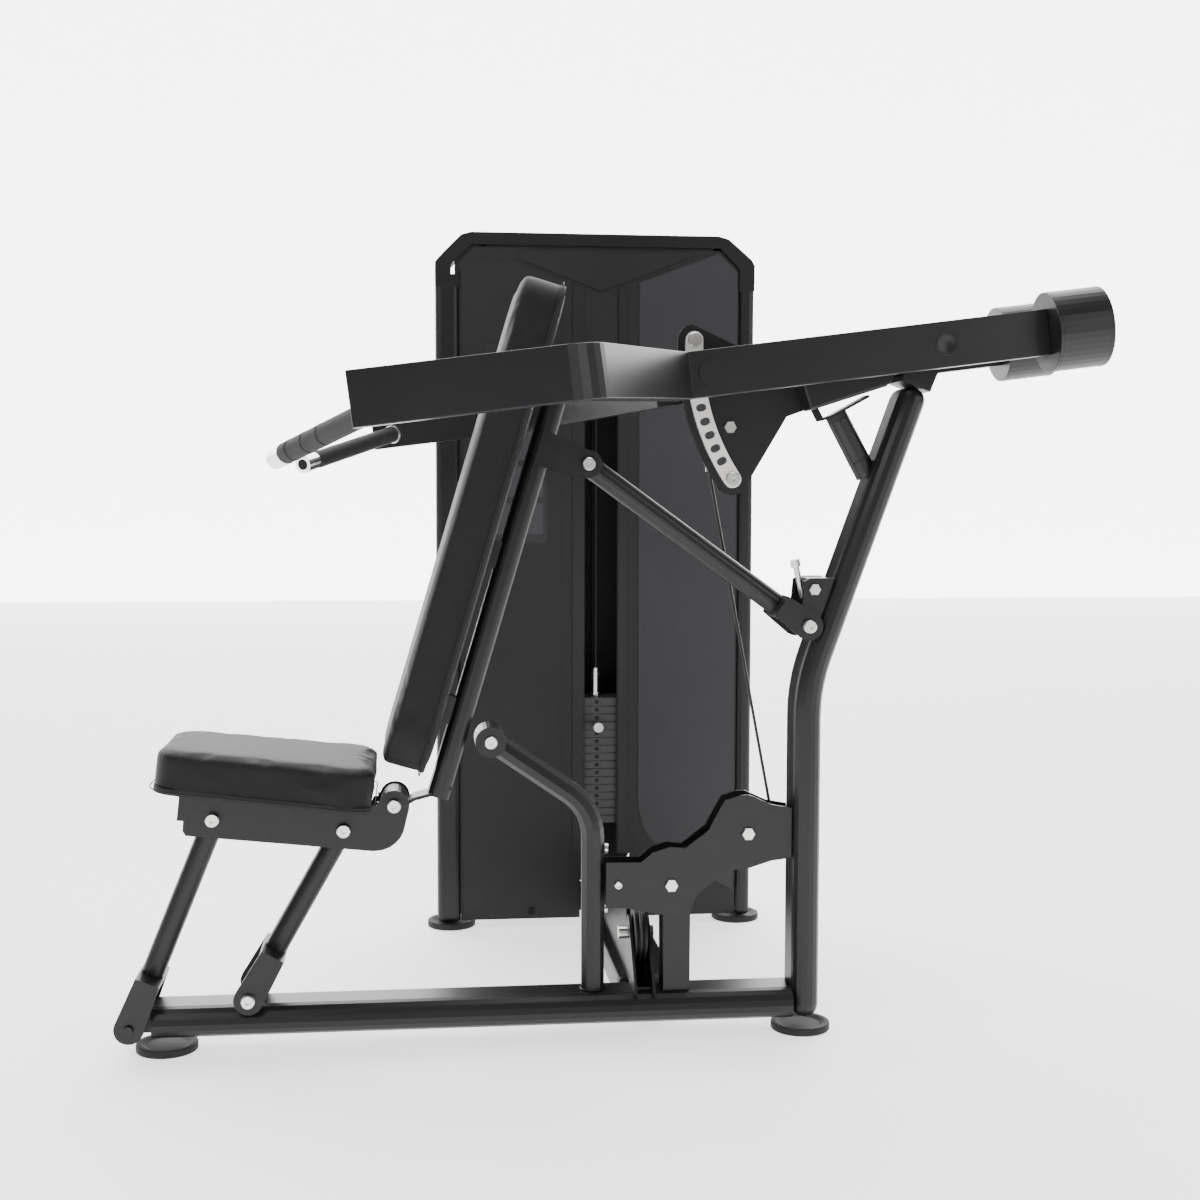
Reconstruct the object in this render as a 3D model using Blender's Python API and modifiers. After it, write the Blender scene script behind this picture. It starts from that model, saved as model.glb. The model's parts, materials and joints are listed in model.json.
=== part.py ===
"""Pin-loaded multi press: a seat and backrest on a linked frame, two swinging press arms with
counterweights, a selector arc that sets their start height, and a cabled weight tower beside it.

Frame: metres, +Z up, +X towards the rear of the machine, +Y towards the weight tower.
The origin is on the floor, under the centre of the front foot; y = 0 is the user's centre plane.
"""

import math

import bmesh
import bpy
from mathutils import Matrix, Vector

# ---------------------------------------------------------------- driving dimensions (metres)
GAP = 0.0003                     # clearance between touching pieces
SEGMENTS = 24                    # sides of a turned piece

BEAM_WIDTH, BEAM_HEIGHT = 0.110, 0.055
BEAM_BOTTOM = 0.0315
BEAM_TOP = BEAM_BOTTOM + BEAM_HEIGHT
BEAM_START, BEAM_END = -0.020, 1.1245
PLATE = 0.005                    # bracket sheet thickness

FOOT_RADIUS, FOOT_HEIGHT = 0.0544, 0.014
FOOT_SPOTS = {
    "foot_front": (0.0, 0.0),
    "foot_rear": (1.149, 0.0),
    "foot_tower_left": (0.521, 0.793),
    "foot_tower_right": (1.180, 0.793),
}

UPRIGHT_X = 1.150                # centre of the upright's vertical part
UPRIGHT_DEEP, UPRIGHT_WIDE = 0.050, 0.100
UPRIGHT_LEAN = math.radians(19.8)
UPRIGHT_BEND_Z, UPRIGHT_BEND_RADIUS = 0.6435, 0.34

PIVOT = Vector((1.3636, 0.0, 1.2500))     # axis of the lever and of the press arms
ARM_SLOPE = math.radians(7.35)
ARM_Y, ARM_WIDE, ARM_TALL = 0.120, 0.040, 0.080
ARM_REAR, ARM_ELBOW, ARM_BEND, ARM_FRONT = 0.186, -0.468, -0.684, -1.018
ARM_OUT_Y, ARM_BEND_RADIUS = 0.608, 0.060
WEIGHT_RADIUS, WEIGHT_LENGTH = 0.070, 0.098
GRIP_FAR_END = Vector((0.2268, -0.310, 1.0435))
GRIP_ROOT = Vector((0.4150, -0.610, 1.1202))

ARC_RADIUS, ARC_WIDTH = 0.4170, 0.032
ARC_TOP, ARC_FOOT = math.radians(177.7), math.radians(214.2)
ARC_HOLES, ARC_PITCH, ARC_FIRST = 8, math.radians(3.58), math.radians(183.85)
ARC_Y, PLATE_Y, PLATE_THICK = 0.0215, 0.0303, 0.008
LEVER_SLOPE = math.radians(17.8)
CABLE_RADIUS = 0.0028
CABLE_ANCHOR = Vector((0.978, 0.049, 1.047))

PULLEY_RADIUS, GROOVE_RADIUS, PULLEY_WIDTH = 0.055, 0.050, 0.022
PULLEY_A = Vector((1.043, 0.0, 0.372))
PULLEY_B = Vector((0.902, 0.0, 0.280))
PULLEY_C = Vector((0.852, 0.053, 0.175))
PULLEY_D = Vector((0.852, 0.850, 0.175))
PULLEY_E = Vector((0.852, 0.850, 1.430))
PULLEY_PLATE_Y = 0.036

LEG_FRONT_FOOT, LEG_REAR_FOOT = Vector((-0.056, 0, 0.057)), Vector((0.149, 0, 0.1024))
SEAT_PIN_FRONT, SEAT_PIN_REAR = Vector((0.0906, 0, 0.4215)), Vector((0.316, 0, 0.398))
BACK_PIN = Vector((0.4042, 0, 0.4401))
STRUT_TOP, STRUT_FOOT = Vector((0.7487, 0, 1.0415)), Vector((1.1455, 0, 0.7524))
BACK_STOP = Vector((0.575, 0, 0.548))
CLEVIS_Y = 0.0575                # inner face of the leg cheeks, astride the beam
SEAT_CHEEK_Y = 0.0450            # inner face of the seat frame's cheeks
FORK_Y = 0.0285                  # inner face of the strut's two forks
ROUND_TUBE = 0.020

SEAT_LEAN, SEAT_LONG, SEAT_THICK = math.radians(6.4), 0.382, 0.070
SEAT_FRONT_TOP = Vector((-0.001, 0, 0.5555))
SEAT_WIDE_FRONT, SEAT_WIDE_REAR, SEAT_CORNER = 0.290, 0.330, 0.060
BACK_LEAN = math.radians(73.5)
BACK_PAD_LOW, BACK_PAD_HIGH, BACK_PAD_HALF, BACK_CORNER = 0.071, 0.957, 0.150, 0.060
BACK_PAD_FRONT, BACK_PAD_REAR = 0.0433, -0.030
BACK_TUBE_FRONT, BACK_TUBE_REAR, BACK_TUBE_WIDE = -0.052, -0.092, 0.060

TOWER_LEFT, TOWER_RIGHT = 0.489, 1.207
TOWER_FRONT, TOWER_DEEP = 0.753, 0.080
TOWER_LEFT_WIDE, TOWER_RIGHT_WIDE = 0.0530, 0.0350
TOWER_CAP_FOOT, TOWER_TOP = 1.460, 1.565
COVER_LEFT, COVER_RIGHT, COVER_FOOT, COVER_TOP = 0.5430, 1.1710, 0.019, 1.533
SLOT_LEFT, SLOT_RIGHT = 0.823, 0.896
REAR_COVER_Y = 0.950
ROD_SPACING, ROD_RADIUS = 0.120, 0.010
STACK_Y, STACK_DEEP, STACK_WIDE, WEIGHT_PITCH = 0.806, 0.080, 0.290, 0.018
STACK_FOOT, RESTING_PLATES, LIFTED_PLATES = 0.235, 12, 4


# ---------------------------------------------------------------- scene and materials
def clear_scene():
    for obj in list(bpy.data.objects):
        bpy.data.objects.remove(obj)


def new_collection(name):
    made = bpy.data.collections.new(name)
    bpy.context.scene.collection.children.link(made)
    return made


def make_material(name, colour, metallic, roughness):
    made = bpy.data.materials.new(name)
    made.use_nodes = True
    shader = made.node_tree.nodes["Principled BSDF"]
    shader.inputs["Base Color"].default_value = (*colour, 1.0)
    shader.inputs["Metallic"].default_value = metallic
    shader.inputs["Roughness"].default_value = roughness
    return made


clear_scene()
PARTS = new_collection("multi_press")
CUTTERS = new_collection("multi_press_cutters")
CUTTERS.hide_render = True

BLACK_PAINT = make_material("black_paint", (0.022, 0.022, 0.023), 0.4, 0.38)
ZINC = make_material("zinc", (0.72, 0.71, 0.69), 1.0, 0.28)
CHROME = make_material("chrome", (0.85, 0.85, 0.85), 1.0, 0.10)
VINYL = make_material("vinyl", (0.030, 0.030, 0.030), 0.0, 0.55)
RUBBER = make_material("rubber", (0.015, 0.015, 0.015), 0.0, 0.75)
COVER_PLASTIC = make_material("cover_plastic", (0.045, 0.045, 0.050), 0.0, 0.45)
NYLON = make_material("nylon", (0.020, 0.020, 0.020), 0.0, 0.50)
CAST_IRON = make_material("cast_iron", (0.030, 0.030, 0.030), 0.5, 0.55)
CABLE_SHEATH = make_material("cable_sheath", (0.020, 0.020, 0.020), 0.0, 0.40)


def make_empty(name, place):
    empty = bpy.data.objects.new(name, None)
    empty.location = place
    PARTS.objects.link(empty)
    return empty


def adopt(obj, name, material, pivot=None, smooth=30.0):
    """Names a finished object, gives it its material and hangs it from its joint's empty."""
    obj.name = name
    obj.data.name = name
    obj.data.materials.clear()
    obj.data.materials.append(material)
    if smooth and obj.type == "MESH":
        obj.data.shade_smooth()
        obj.data.set_sharp_from_angle(angle=math.radians(smooth))
    if pivot is not None:
        obj.parent = pivot
        obj.location = Vector(obj.location) - Vector(pivot.location)
    return obj


def link_mesh(mesh, name, collection=None):
    obj = bpy.data.objects.new(name, mesh)
    (collection or PARTS).objects.link(obj)
    return obj


def hide_cutter(obj):
    """A helper for a Boolean: it stays in the file, and isn't a piece of the machine."""
    for owner in list(obj.users_collection):
        owner.objects.unlink(obj)
    CUTTERS.objects.link(obj)
    obj.hide_render = True
    obj.display_type = "WIRE"
    return obj


def boolean(obj, other, operation):
    hide_cutter(other)
    modifier = obj.modifiers.new(operation.lower(), "BOOLEAN")
    modifier.operation = operation
    modifier.solver = "EXACT"
    modifier.object = other
    return obj


# ---------------------------------------------------------------- outlines (lists of 2D points)
def arc_points(centre, radius, start, end, steps):
    """Points of an arc, angles in radians, end included."""
    turn = [start + (end - start) * i / steps for i in range(steps + 1)]
    return [(centre[0] + radius * math.cos(a), centre[1] + radius * math.sin(a)) for a in turn]


def circle_points(centre, radius, steps=SEGMENTS):
    return arc_points(centre, radius, 0.0, 2 * math.pi, steps)[:-1]


def flat_oval(width, height, steps=8):
    """A flat-sided oval lying along its first axis, as rolled tube has."""
    r = height / 2
    reach = width / 2 - r
    right = arc_points((reach, 0), r, -math.pi / 2, math.pi / 2, steps)
    left = arc_points((-reach, 0), r, math.pi / 2, 3 * math.pi / 2, steps)
    return right + left


def rounded(corners, steps=4):
    """A closed outline from (x, y, radius) corners, each rounded with its own radius."""
    points = []
    count = len(corners)
    for i, (x, y, r) in enumerate(corners):
        here = Vector((x, y))
        before = (Vector(corners[i - 1][:2]) - here).normalized()
        after = (Vector(corners[(i + 1) % count][:2]) - here).normalized()
        if r <= 0:
            points.append((x, y))
            continue
        half = before.angle(after) / 2
        reach = r / math.tan(half)
        centre = here + (before + after).normalized() * (r / math.sin(half))
        first = here + before * reach - centre
        last = here + after * reach - centre
        begin = math.atan2(first.y, first.x)
        sweep = math.atan2(last.y, last.x) - begin
        sweep = (sweep + math.pi) % (2 * math.pi) - math.pi
        points += arc_points(centre, r, begin, begin + sweep, steps)
    return points


def rounded_box(width, height, radius, steps=3):
    w, h = width / 2, height / 2
    return rounded([(w, -h, radius), (w, h, radius), (-w, h, radius), (-w, -h, radius)], steps)


# ---------------------------------------------------------------- solids
def extrude(outlines, thickness):
    """A mesh from closed outlines, the later ones being holes, extruded evenly about its plane."""
    curve = bpy.data.curves.new("outline", "CURVE")
    curve.dimensions = "2D"
    curve.fill_mode = "BOTH"
    curve.extrude = thickness / 2
    for points in outlines:
        spline = curve.splines.new("POLY")
        spline.points.add(len(points) - 1)
        for point, (x, y) in zip(spline.points, points):
            point.co = (x, y, 0.0, 1.0)
        spline.use_cyclic_u = True
    return curve_to_mesh(curve)


def curve_to_mesh(curve):
    holder = bpy.data.objects.new("outline", curve)
    bpy.context.scene.collection.objects.link(holder)
    bpy.context.view_layer.update()
    mesh = bpy.data.meshes.new_from_object(holder.evaluated_get(bpy.context.evaluated_depsgraph_get()))
    bpy.data.objects.remove(holder)
    shape = bmesh.new()
    shape.from_mesh(mesh)
    bmesh.ops.remove_doubles(shape, verts=shape.verts, dist=1e-6)
    shape.to_mesh(mesh)
    shape.free()
    return mesh


TO_XZ = Matrix(((1, 0, 0, 0), (0, 0, -1, 0), (0, 1, 0, 0), (0, 0, 0, 1)))   # plan x, y to world X, Z
TO_YZ = Matrix(((0, 0, 1, 0), (1, 0, 0, 0), (0, 1, 0, 0), (0, 0, 0, 1)))    # plan x, y to world Y, Z


def side_plate(outlines, y_low, y_high):
    """A plate parallel to the machine's centre plane, from outlines in X and Z."""
    mesh = extrude(outlines, y_high - y_low)
    mesh.transform(Matrix.Translation((0, (y_low + y_high) / 2, 0)) @ TO_XZ)
    return link_mesh(mesh, "plate")


def cross_plate(outlines, x_low, x_high):
    """A plate across the machine, from outlines in Y and Z."""
    mesh = extrude(outlines, x_high - x_low)
    mesh.transform(Matrix.Translation(((x_low + x_high) / 2, 0, 0)) @ TO_YZ)
    return link_mesh(mesh, "plate")


def level_plate(outlines, z_low, z_high):
    mesh = extrude(outlines, z_high - z_low)
    mesh.transform(Matrix.Translation((0, 0, (z_low + z_high) / 2)))
    return link_mesh(mesh, "plate")


def box(low, high):
    bpy.ops.mesh.primitive_cube_add(size=1.0)
    obj = bpy.context.active_object
    for owner in list(obj.users_collection):
        owner.objects.unlink(obj)
    PARTS.objects.link(obj)
    low, high = Vector(low), Vector(high)
    size = high - low
    obj.data.transform(Matrix.Translation((low + high) / 2) @ Matrix.Diagonal((*size, 1.0)))
    return obj


def aim(direction):
    """The rotation that turns +Z to a direction."""
    return Vector(direction).to_track_quat("Z", "Y").to_matrix().to_4x4()


def turned(profile, place, direction, steps=SEGMENTS):
    """A turned piece: a closed (radius, height) profile, outer side running down, about an axis."""
    mesh = bpy.data.meshes.new("profile")
    count = len(profile)
    mesh.from_pydata([(r, 0.0, h) for r, h in profile], [(i, (i + 1) % count) for i in range(count)], [])
    obj = link_mesh(mesh, "turned")
    screw = obj.modifiers.new("screw", "SCREW")
    screw.steps = steps
    screw.render_steps = steps
    screw.use_merge_vertices = True
    screw.merge_threshold = 1e-5
    obj.matrix_world = Matrix.Translation(place) @ aim(direction)
    return baked(obj)


def baked(obj):
    """Puts an object's modifiers and placement into its mesh, so that its origin is the world's."""
    bpy.context.view_layer.update()
    mesh = bpy.data.meshes.new_from_object(obj.evaluated_get(bpy.context.evaluated_depsgraph_get()))
    mesh.transform(obj.matrix_world)
    made = link_mesh(mesh, obj.name)
    for owner in list(obj.users_collection):
        owner.objects.unlink(obj)
    bpy.data.objects.remove(obj)
    return made


def rod(radius, start, end, steps=SEGMENTS, bore=0.0):
    """A straight round bar, or a sleeve when it has a bore."""
    start, end = Vector(start), Vector(end)
    outlines = [circle_points((0, 0), radius, steps)]
    if bore:
        outlines.append(circle_points((0, 0), bore, steps))
    mesh = extrude(outlines, (end - start).length)
    mesh.transform(Matrix.Translation((start + end) / 2) @ aim(end - start))
    return link_mesh(mesh, "rod")


def across(centre, radius, y_low, y_high, bore=0.0, steps=SEGMENTS):
    """A round bar or sleeve along Y through a point."""
    return rod(radius, (centre.x, y_low, centre.z), (centre.x, y_high, centre.z), steps, bore)


def union(first, *others):
    for other in others:
        boolean(first, other, "UNION")
    return first


def cut(first, *others):
    for other in others:
        boolean(first, other, "DIFFERENCE")
    return first


def tube(points, radius, steps=12):
    """A solid round bar swept along a line of points, with flat ends."""
    curve = bpy.data.curves.new("tube", "CURVE")
    curve.dimensions = "3D"
    curve.bevel_depth = radius
    curve.bevel_resolution = steps // 4
    curve.use_fill_caps = True
    spline = curve.splines.new("POLY")
    spline.points.add(len(points) - 1)
    for point, place in zip(spline.points, points):
        point.co = (*place, 1.0)
    return link_mesh(curve_to_mesh(curve), "tube")


def band(line, width):
    """The outline of a strip of even width along a line of 2D points, mitred at its corners."""
    line = [Vector(p) for p in line]
    left, right = [], []
    for i, here in enumerate(line):
        before = (here - line[i - 1]).normalized() if i else (line[1] - here).normalized()
        after = (line[i + 1] - here).normalized() if i + 1 < len(line) else before
        side = Vector((-(before + after).y, (before + after).x)).normalized()
        reach = width / 2 / max(0.2, side.dot(Vector((-before.y, before.x))))
        left.append(tuple(here + side * reach))
        right.append(tuple(here - side * reach))
    return right + left[::-1]


def local_plate(outlines, y_low, y_high, origin, angle):
    """A side plate drawn about its own origin, turned in the XZ plane and moved into place."""
    plate = side_plate(outlines, y_low, y_high)
    plate.data.transform(Matrix.Translation(origin) @ Matrix.Rotation(-angle, 4, "Y"))
    return plate


def soften(obj, width, segments=2, angle=40):
    bevel = obj.modifiers.new("bevel", "BEVEL")
    bevel.width = width
    bevel.segments = segments
    bevel.limit_method = "ANGLE"
    bevel.angle_limit = math.radians(angle)
    return obj


def xz(place):
    return (place.x, place.z)


# ---------------------------------------------------------------- fixed frame
def build_base():
    beam = cross_plate([flat_oval(BEAM_WIDTH, BEAM_HEIGHT)], BEAM_START, BEAM_END)
    beam.data.transform(Matrix.Translation((0, 0, BEAM_BOTTOM + BEAM_HEIGHT / 2)))
    front = across(LEG_FRONT_FOOT, 0.018, -CLEVIS_Y + GAP, CLEVIS_Y - GAP)
    web = box((LEG_FRONT_FOOT.x, -0.045, 0.046), (BEAM_START + 0.01, 0.045, 0.068))
    rear = across(LEG_REAR_FOOT, 0.0178, -CLEVIS_Y + GAP, CLEVIS_Y - GAP)
    saddle = box((0.135, -0.030, 0.070), (0.163, 0.030, 0.100))
    bore = across(LEG_REAR_FOOT, 0.0083, -0.1, 0.1)
    stud = across(LEG_FRONT_FOOT, 0.0080, -CLEVIS_Y - 0.0130, CLEVIS_Y + 0.0130, steps=16)
    adopt(cut(union(beam, front, web, rear, saddle, stud), bore), "base_beam", BLACK_PAINT)

    link = level_plate([[(x, y) for x, y in flat_rect(0.815, 0.0553, 0.925, TOWER_FRONT + 0.0135)]],
                       BEAM_BOTTOM, BEAM_TOP)
    adopt(soften(link, 0.020, 3), "connecting_beam", BLACK_PAINT)

    for name, (x, y) in FOOT_SPOTS.items():
        rim, r = FOOT_HEIGHT, FOOT_RADIUS
        profile = [(0, 0.010), (0.036, 0.010), (0.046, rim), (r - 0.001, rim), (r, rim - 0.002),
                   (r, 0.002), (r - 0.002, 0), (0, 0)]
        foot = turned(profile, (x, y, 0), (0, 0, 1), 32)
        adopt(foot, name, RUBBER)


def flat_rect(x_low, y_low, x_high, y_high):
    return [(x_low, y_low), (x_high, y_low), (x_high, y_high), (x_low, y_high)]


def build_upright():
    """An oval post, vertical, then bent and leaning back to the pivot."""
    r, lean = UPRIGHT_BEND_RADIUS, UPRIGHT_LEAN
    half = r * math.tan(lean / 2)
    low = UPRIGHT_BEND_Z - half
    line = [(UPRIGHT_X, 0.0310)]
    line += arc_points((UPRIGHT_X + r, low), r, math.pi, math.pi - lean, 5)
    top = PIVOT - Vector((math.sin(lean), 0, math.cos(lean))) * 0.0720
    start = Vector((line[-1][0], 0, line[-1][1]))
    along = Vector((math.sin(lean), 0, math.cos(lean)))
    line.append(xz(start + along * (top - start).dot(along)))
    post = side_plate([band(line, UPRIGHT_DEEP)], -UPRIGHT_WIDE / 2, UPRIGHT_WIDE / 2)
    soften(post, UPRIGHT_DEEP / 2 - 0.001, 4, 60)
    stub_foot, stub_top = Vector((1.2625, 0, 1.0235)), Vector((1.2083, 0, 1.1237))
    stub = rod(0.020, stub_foot, stub_top)
    adopt(union(baked(post), stub), "rear_upright", BLACK_PAINT)
    direction = (stub_top - stub_foot).normalized()
    cap = rod(0.0195, stub_top + direction * GAP, stub_top + direction * 0.0100)
    adopt(cap, "bumper_cap", RUBBER)

    yoke = box((-0.028, -0.045, -0.0717), (0.028, 0.045, -0.0600))
    cheek = [(-0.028, -0.0717), (0.028, -0.0717)] + arc_points((0, 0), 0.033, -0.35, math.pi + 0.35, 12)
    sides = [side_plate([cheek], 0.0345, 0.0430), side_plate([cheek], -0.0430, -0.0345)]
    union(yoke, *sides)
    cut(yoke, rod(0.0128, (0, -0.06, 0), (0, 0.06, 0)))
    yoke = baked(yoke)
    yoke.data.transform(Matrix.Translation(PIVOT) @ Matrix.Rotation(lean, 4, "Y"))
    adopt(yoke, "pivot_yoke", BLACK_PAINT)


def build_back_post():
    hub = Vector((BACK_STOP.x, 0, BACK_STOP.z))
    bend = Vector((0.761, 0, 0.420))
    down = Vector((0.761, 0, BEAM_TOP + GAP))
    slope = (bend - hub).normalized()
    r = 0.10
    turn = math.acos(slope.dot(Vector((0, 0, -1))))
    reach = r * math.tan(turn / 2)
    first, last = bend - slope * reach, bend + Vector((0, 0, -reach))
    centre = last - Vector((r, 0, 0))
    points = [hub + slope * 0.012]
    points += [Vector((x, 0, z)) for x, z in arc_points(xz(centre), r, turn, 0.0, 7)]
    points.append(down)
    post = tube(points, 0.0215)
    barrel = across(hub, 0.0275, -0.040, 0.040)
    adopt(union(post, barrel), "back_post", BLACK_PAINT)


def build_pulley_frame():
    outline = [(0.7830, 0.3240), (0.8480, 0.3230), (0.8700, 0.3410), (0.8990, 0.3500),
               (0.9280, 0.3470), (0.9720, 0.3800), (0.9800, 0.3970), (1.0010, 0.4340),
               (1.0300, 0.4430), (1.0460, 0.4430), (1.0850, 0.4250), (1.1235, 0.4180),
               (1.1235, 0.3260), (1.0860, 0.3210), (1.0470, 0.3090), (1.0200, 0.3060),
               (0.9780, 0.2850), (0.9480, 0.2600), (0.9370, 0.2290), (0.9365, BEAM_TOP + GAP),
               (0.8880, BEAM_TOP + GAP), (0.8870, 0.2260), (0.8240, 0.2390), (0.7830, 0.2430)]
    outline = outline[::-1]
    plates = side_plate([outline], -0.0265, -0.0215)
    union(plates, side_plate([outline], 0.0215, 0.0265))
    for centre in (PULLEY_A, PULLEY_B):
        union(plates, across(centre, 0.0080, -0.0250, 0.0250, steps=16))
    union(plates, across(Vector((0.805, 0, 0.283)), 0.0100, -0.0250, 0.0250, steps=16),
          box((0.890, -0.0230, BEAM_TOP + GAP), (0.935, 0.0230, BEAM_TOP + 0.0055)))
    adopt(plates, "pulley_plates", BLACK_PAINT)
    build_pulley("pulley_a", PULLEY_A, (0, 1, 0))
    build_pulley("pulley_b", PULLEY_B, (0, 1, 0))
    flange = [(-0.055, 0.0500), (0.075, 0.0500), (0.081, 0.1750), (0.077, 0.1880), (0.070, 0.1990),
              (0.061, 0.2060), (0.053, 0.2080), (0.040, 0.2050), (0.030, 0.1960), (0.022, 0.1800)]
    flange = [(y, max(z, BEAM_TOP + GAP)) for y, z in flange]
    bracket = cross_plate([flange], 0.8330, 0.8380)
    union(bracket, cross_plate([flange], 0.8660, 0.8710),
          box((0.8350, -0.020, BEAM_TOP + GAP), (0.8690, 0.060, BEAM_TOP + 0.005)))
    cut(bracket, rod(0.0083, (0.80, PULLEY_C.y, PULLEY_C.z), (0.90, PULLEY_C.y, PULLEY_C.z)))
    adopt(bracket, "floor_pulley_bracket", BLACK_PAINT)
    build_pulley("pulley_c", PULLEY_C, (1, 0, 0))
    axle = rod(0.008, (0.818, PULLEY_C.y, PULLEY_C.z), (0.880, PULLEY_C.y, PULLEY_C.z), 16)
    head = rod(0.012, (0.815, PULLEY_C.y, PULLEY_C.z), (0.8325, PULLEY_C.y, PULLEY_C.z), 16)
    nut = rod(0.012, (0.8715, PULLEY_C.y, PULLEY_C.z), (0.880, PULLEY_C.y, PULLEY_C.z), 6)
    adopt(union(axle, head, nut), "pulley_c_bolt", ZINC)


def build_pulley(name, centre, axis, bore=0.0083):
    half, r, g = PULLEY_WIDTH / 2, PULLEY_RADIUS, GROOVE_RADIUS
    pivot = make_empty("joint_" + name, centre)
    profile = [(bore, half), (r, half), (r, half - 0.002), (g, 0.0035), (g, -0.0035), (r, -half + 0.002),
               (r, -half), (bore, -half)]
    wheel = turned(profile, centre, axis, 28)
    wheel.data.transform(Matrix.Translation(-Vector(centre)))
    wheel.location = centre
    adopt(wheel, name, NYLON, pivot)


# ---------------------------------------------------------------- weight tower
def build_tower():
    back = TOWER_FRONT + TOWER_DEEP
    left_inner, right_inner = TOWER_LEFT + TOWER_LEFT_WIDE, TOWER_RIGHT - TOWER_RIGHT_WIDE
    for name, low, high in (("tower_post_left", TOWER_LEFT, left_inner),
                            ("tower_post_right", right_inner, TOWER_RIGHT)):
        post = box((low, TOWER_FRONT, 0.0143), (high, back, TOWER_CAP_FOOT - GAP))
        adopt(soften(post, 0.012, 3), name, BLACK_PAINT)
    sill = box((left_inner + GAP, TOWER_FRONT + 0.014, BEAM_BOTTOM), (right_inner - GAP, back, BEAM_TOP))
    sill = baked(soften(sill, 0.006, 2))
    adopt(union(sill, *pulley_fork(PULLEY_D, 0.0600, 0.205, 0.0600)), "tower_sill", BLACK_PAINT)

    outer = [(TOWER_LEFT, TOWER_CAP_FOOT), (TOWER_LEFT, 1.499), (0.507, 1.519), (0.547, 1.559),
             (0.569, TOWER_TOP), (1.125, TOWER_TOP), (1.147, 1.559), (1.200, 1.514), (TOWER_RIGHT, 1.501),
             (TOWER_RIGHT, TOWER_CAP_FOOT), (1.1725, TOWER_CAP_FOOT), (1.1725, 1.493), (1.128, 1.5385),
             (0.568, 1.5385), (0.5235, 1.493), (0.5235, TOWER_CAP_FOOT)]
    cap = side_plate([outer[::-1]], TOWER_FRONT, back)
    union(cap, box((0.700, 0.790, 1.5000), (1.000, back - 0.001, 1.545)))
    cap = union(baked(cap), *pulley_fork(PULLEY_E, 1.400, 1.5050, 1.4960))
    adopt(cap, "tower_cap", BLACK_PAINT)

    top = COVER_TOP
    left = [(COVER_LEFT, COVER_FOOT), (SLOT_LEFT, COVER_FOOT), (SLOT_LEFT, 1.250), (SLOT_RIGHT, 1.250),
            (SLOT_RIGHT, top), (0.574, top), (COVER_LEFT, 1.500)]
    right = [(SLOT_RIGHT, COVER_FOOT), (COVER_RIGHT, COVER_FOOT), (COVER_RIGHT, 1.488),
             (1.126, top), (SLOT_RIGHT + GAP, top), (SLOT_RIGHT + GAP, 1.250)]
    left_cover = side_plate([left], TOWER_FRONT + 0.004, TOWER_FRONT + 0.008)
    right_cover = side_plate([right], TOWER_FRONT + 0.004, TOWER_FRONT + 0.008)
    gate = box((0.8130, 0.700, 0.0187), (0.9270, 0.800, 0.165))
    adopt(cut(left_cover, gate), "cover_left", COVER_PLASTIC)
    adopt(cut(right_cover, box((0.8130, 0.700, 0.0187), (0.9270, 0.800, 0.165))), "cover_right",
          COVER_PLASTIC)

    walls = [(0.545, back + GAP), (0.549, back + GAP), (0.549, REAR_COVER_Y - 0.004),
             (1.151, REAR_COVER_Y - 0.004), (1.151, back + GAP), (1.155, back + GAP),
             (1.155, REAR_COVER_Y), (0.545, REAR_COVER_Y)]
    adopt(level_plate([walls], 0.060, 1.500), "cover_rear", COVER_PLASTIC)

    centre = PULLEY_E.x
    guide = box((centre - 0.110, 0.7905, 1.4800), (centre + 0.110, 0.8215, 1.4997))
    for side in (-1, 1):
        x = centre + side * ROD_SPACING / 2 * 1.5
        union(guide, rod(ROD_RADIUS, (x, STACK_Y, BEAM_TOP + GAP), (x, STACK_Y, 1.490), 16),
              rod(0.020, (x, STACK_Y, BEAM_TOP + GAP), (x, STACK_Y, STACK_FOOT - GAP), 16))
    adopt(guide, "guide_rods", CHROME)

    build_pulley("pulley_d", PULLEY_D, (1, 0, 0))
    build_pulley("pulley_e", PULLEY_E, (1, 0, 0))

    profile = [(0.085, BEAM_TOP + GAP), (0.085, 0.240), (0.160, 0.240), (0.340, 0.160), (0.735, 0.160),
               (0.735, BEAM_TOP + GAP)]
    shell = cross_plate([profile[::-1]], 0.8340, 0.8760)
    inside = [(0.060, 0.050), (0.060, 0.237), (0.1594, 0.237), (0.3394, 0.157), (0.800, 0.157),
              (0.800, 0.050)]
    cut(shell, cross_plate([inside[::-1]], 0.8370, 0.8730))
    adopt(shell, "cable_guard", BLACK_PAINT)


def pulley_fork(centre, low, high, web):
    """Two cheeks, their web and the axle that hold a tower pulley, as solids to be joined on."""
    x_low, x_high = centre.x - 0.0240, centre.x + 0.0240
    return (box((x_low, 0.8250, low), (x_low + 0.005, 0.8750, high)),
            box((x_high - 0.005, 0.8250, low), (x_high, 0.8750, high)),
            box((x_low + 0.001, 0.8240, web), (x_high - 0.001, 0.8740, web + 0.0080)),
            rod(0.0080, (x_low - 0.004, centre.y, centre.z), (x_high + 0.004, centre.y, centre.z), 16))


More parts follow.
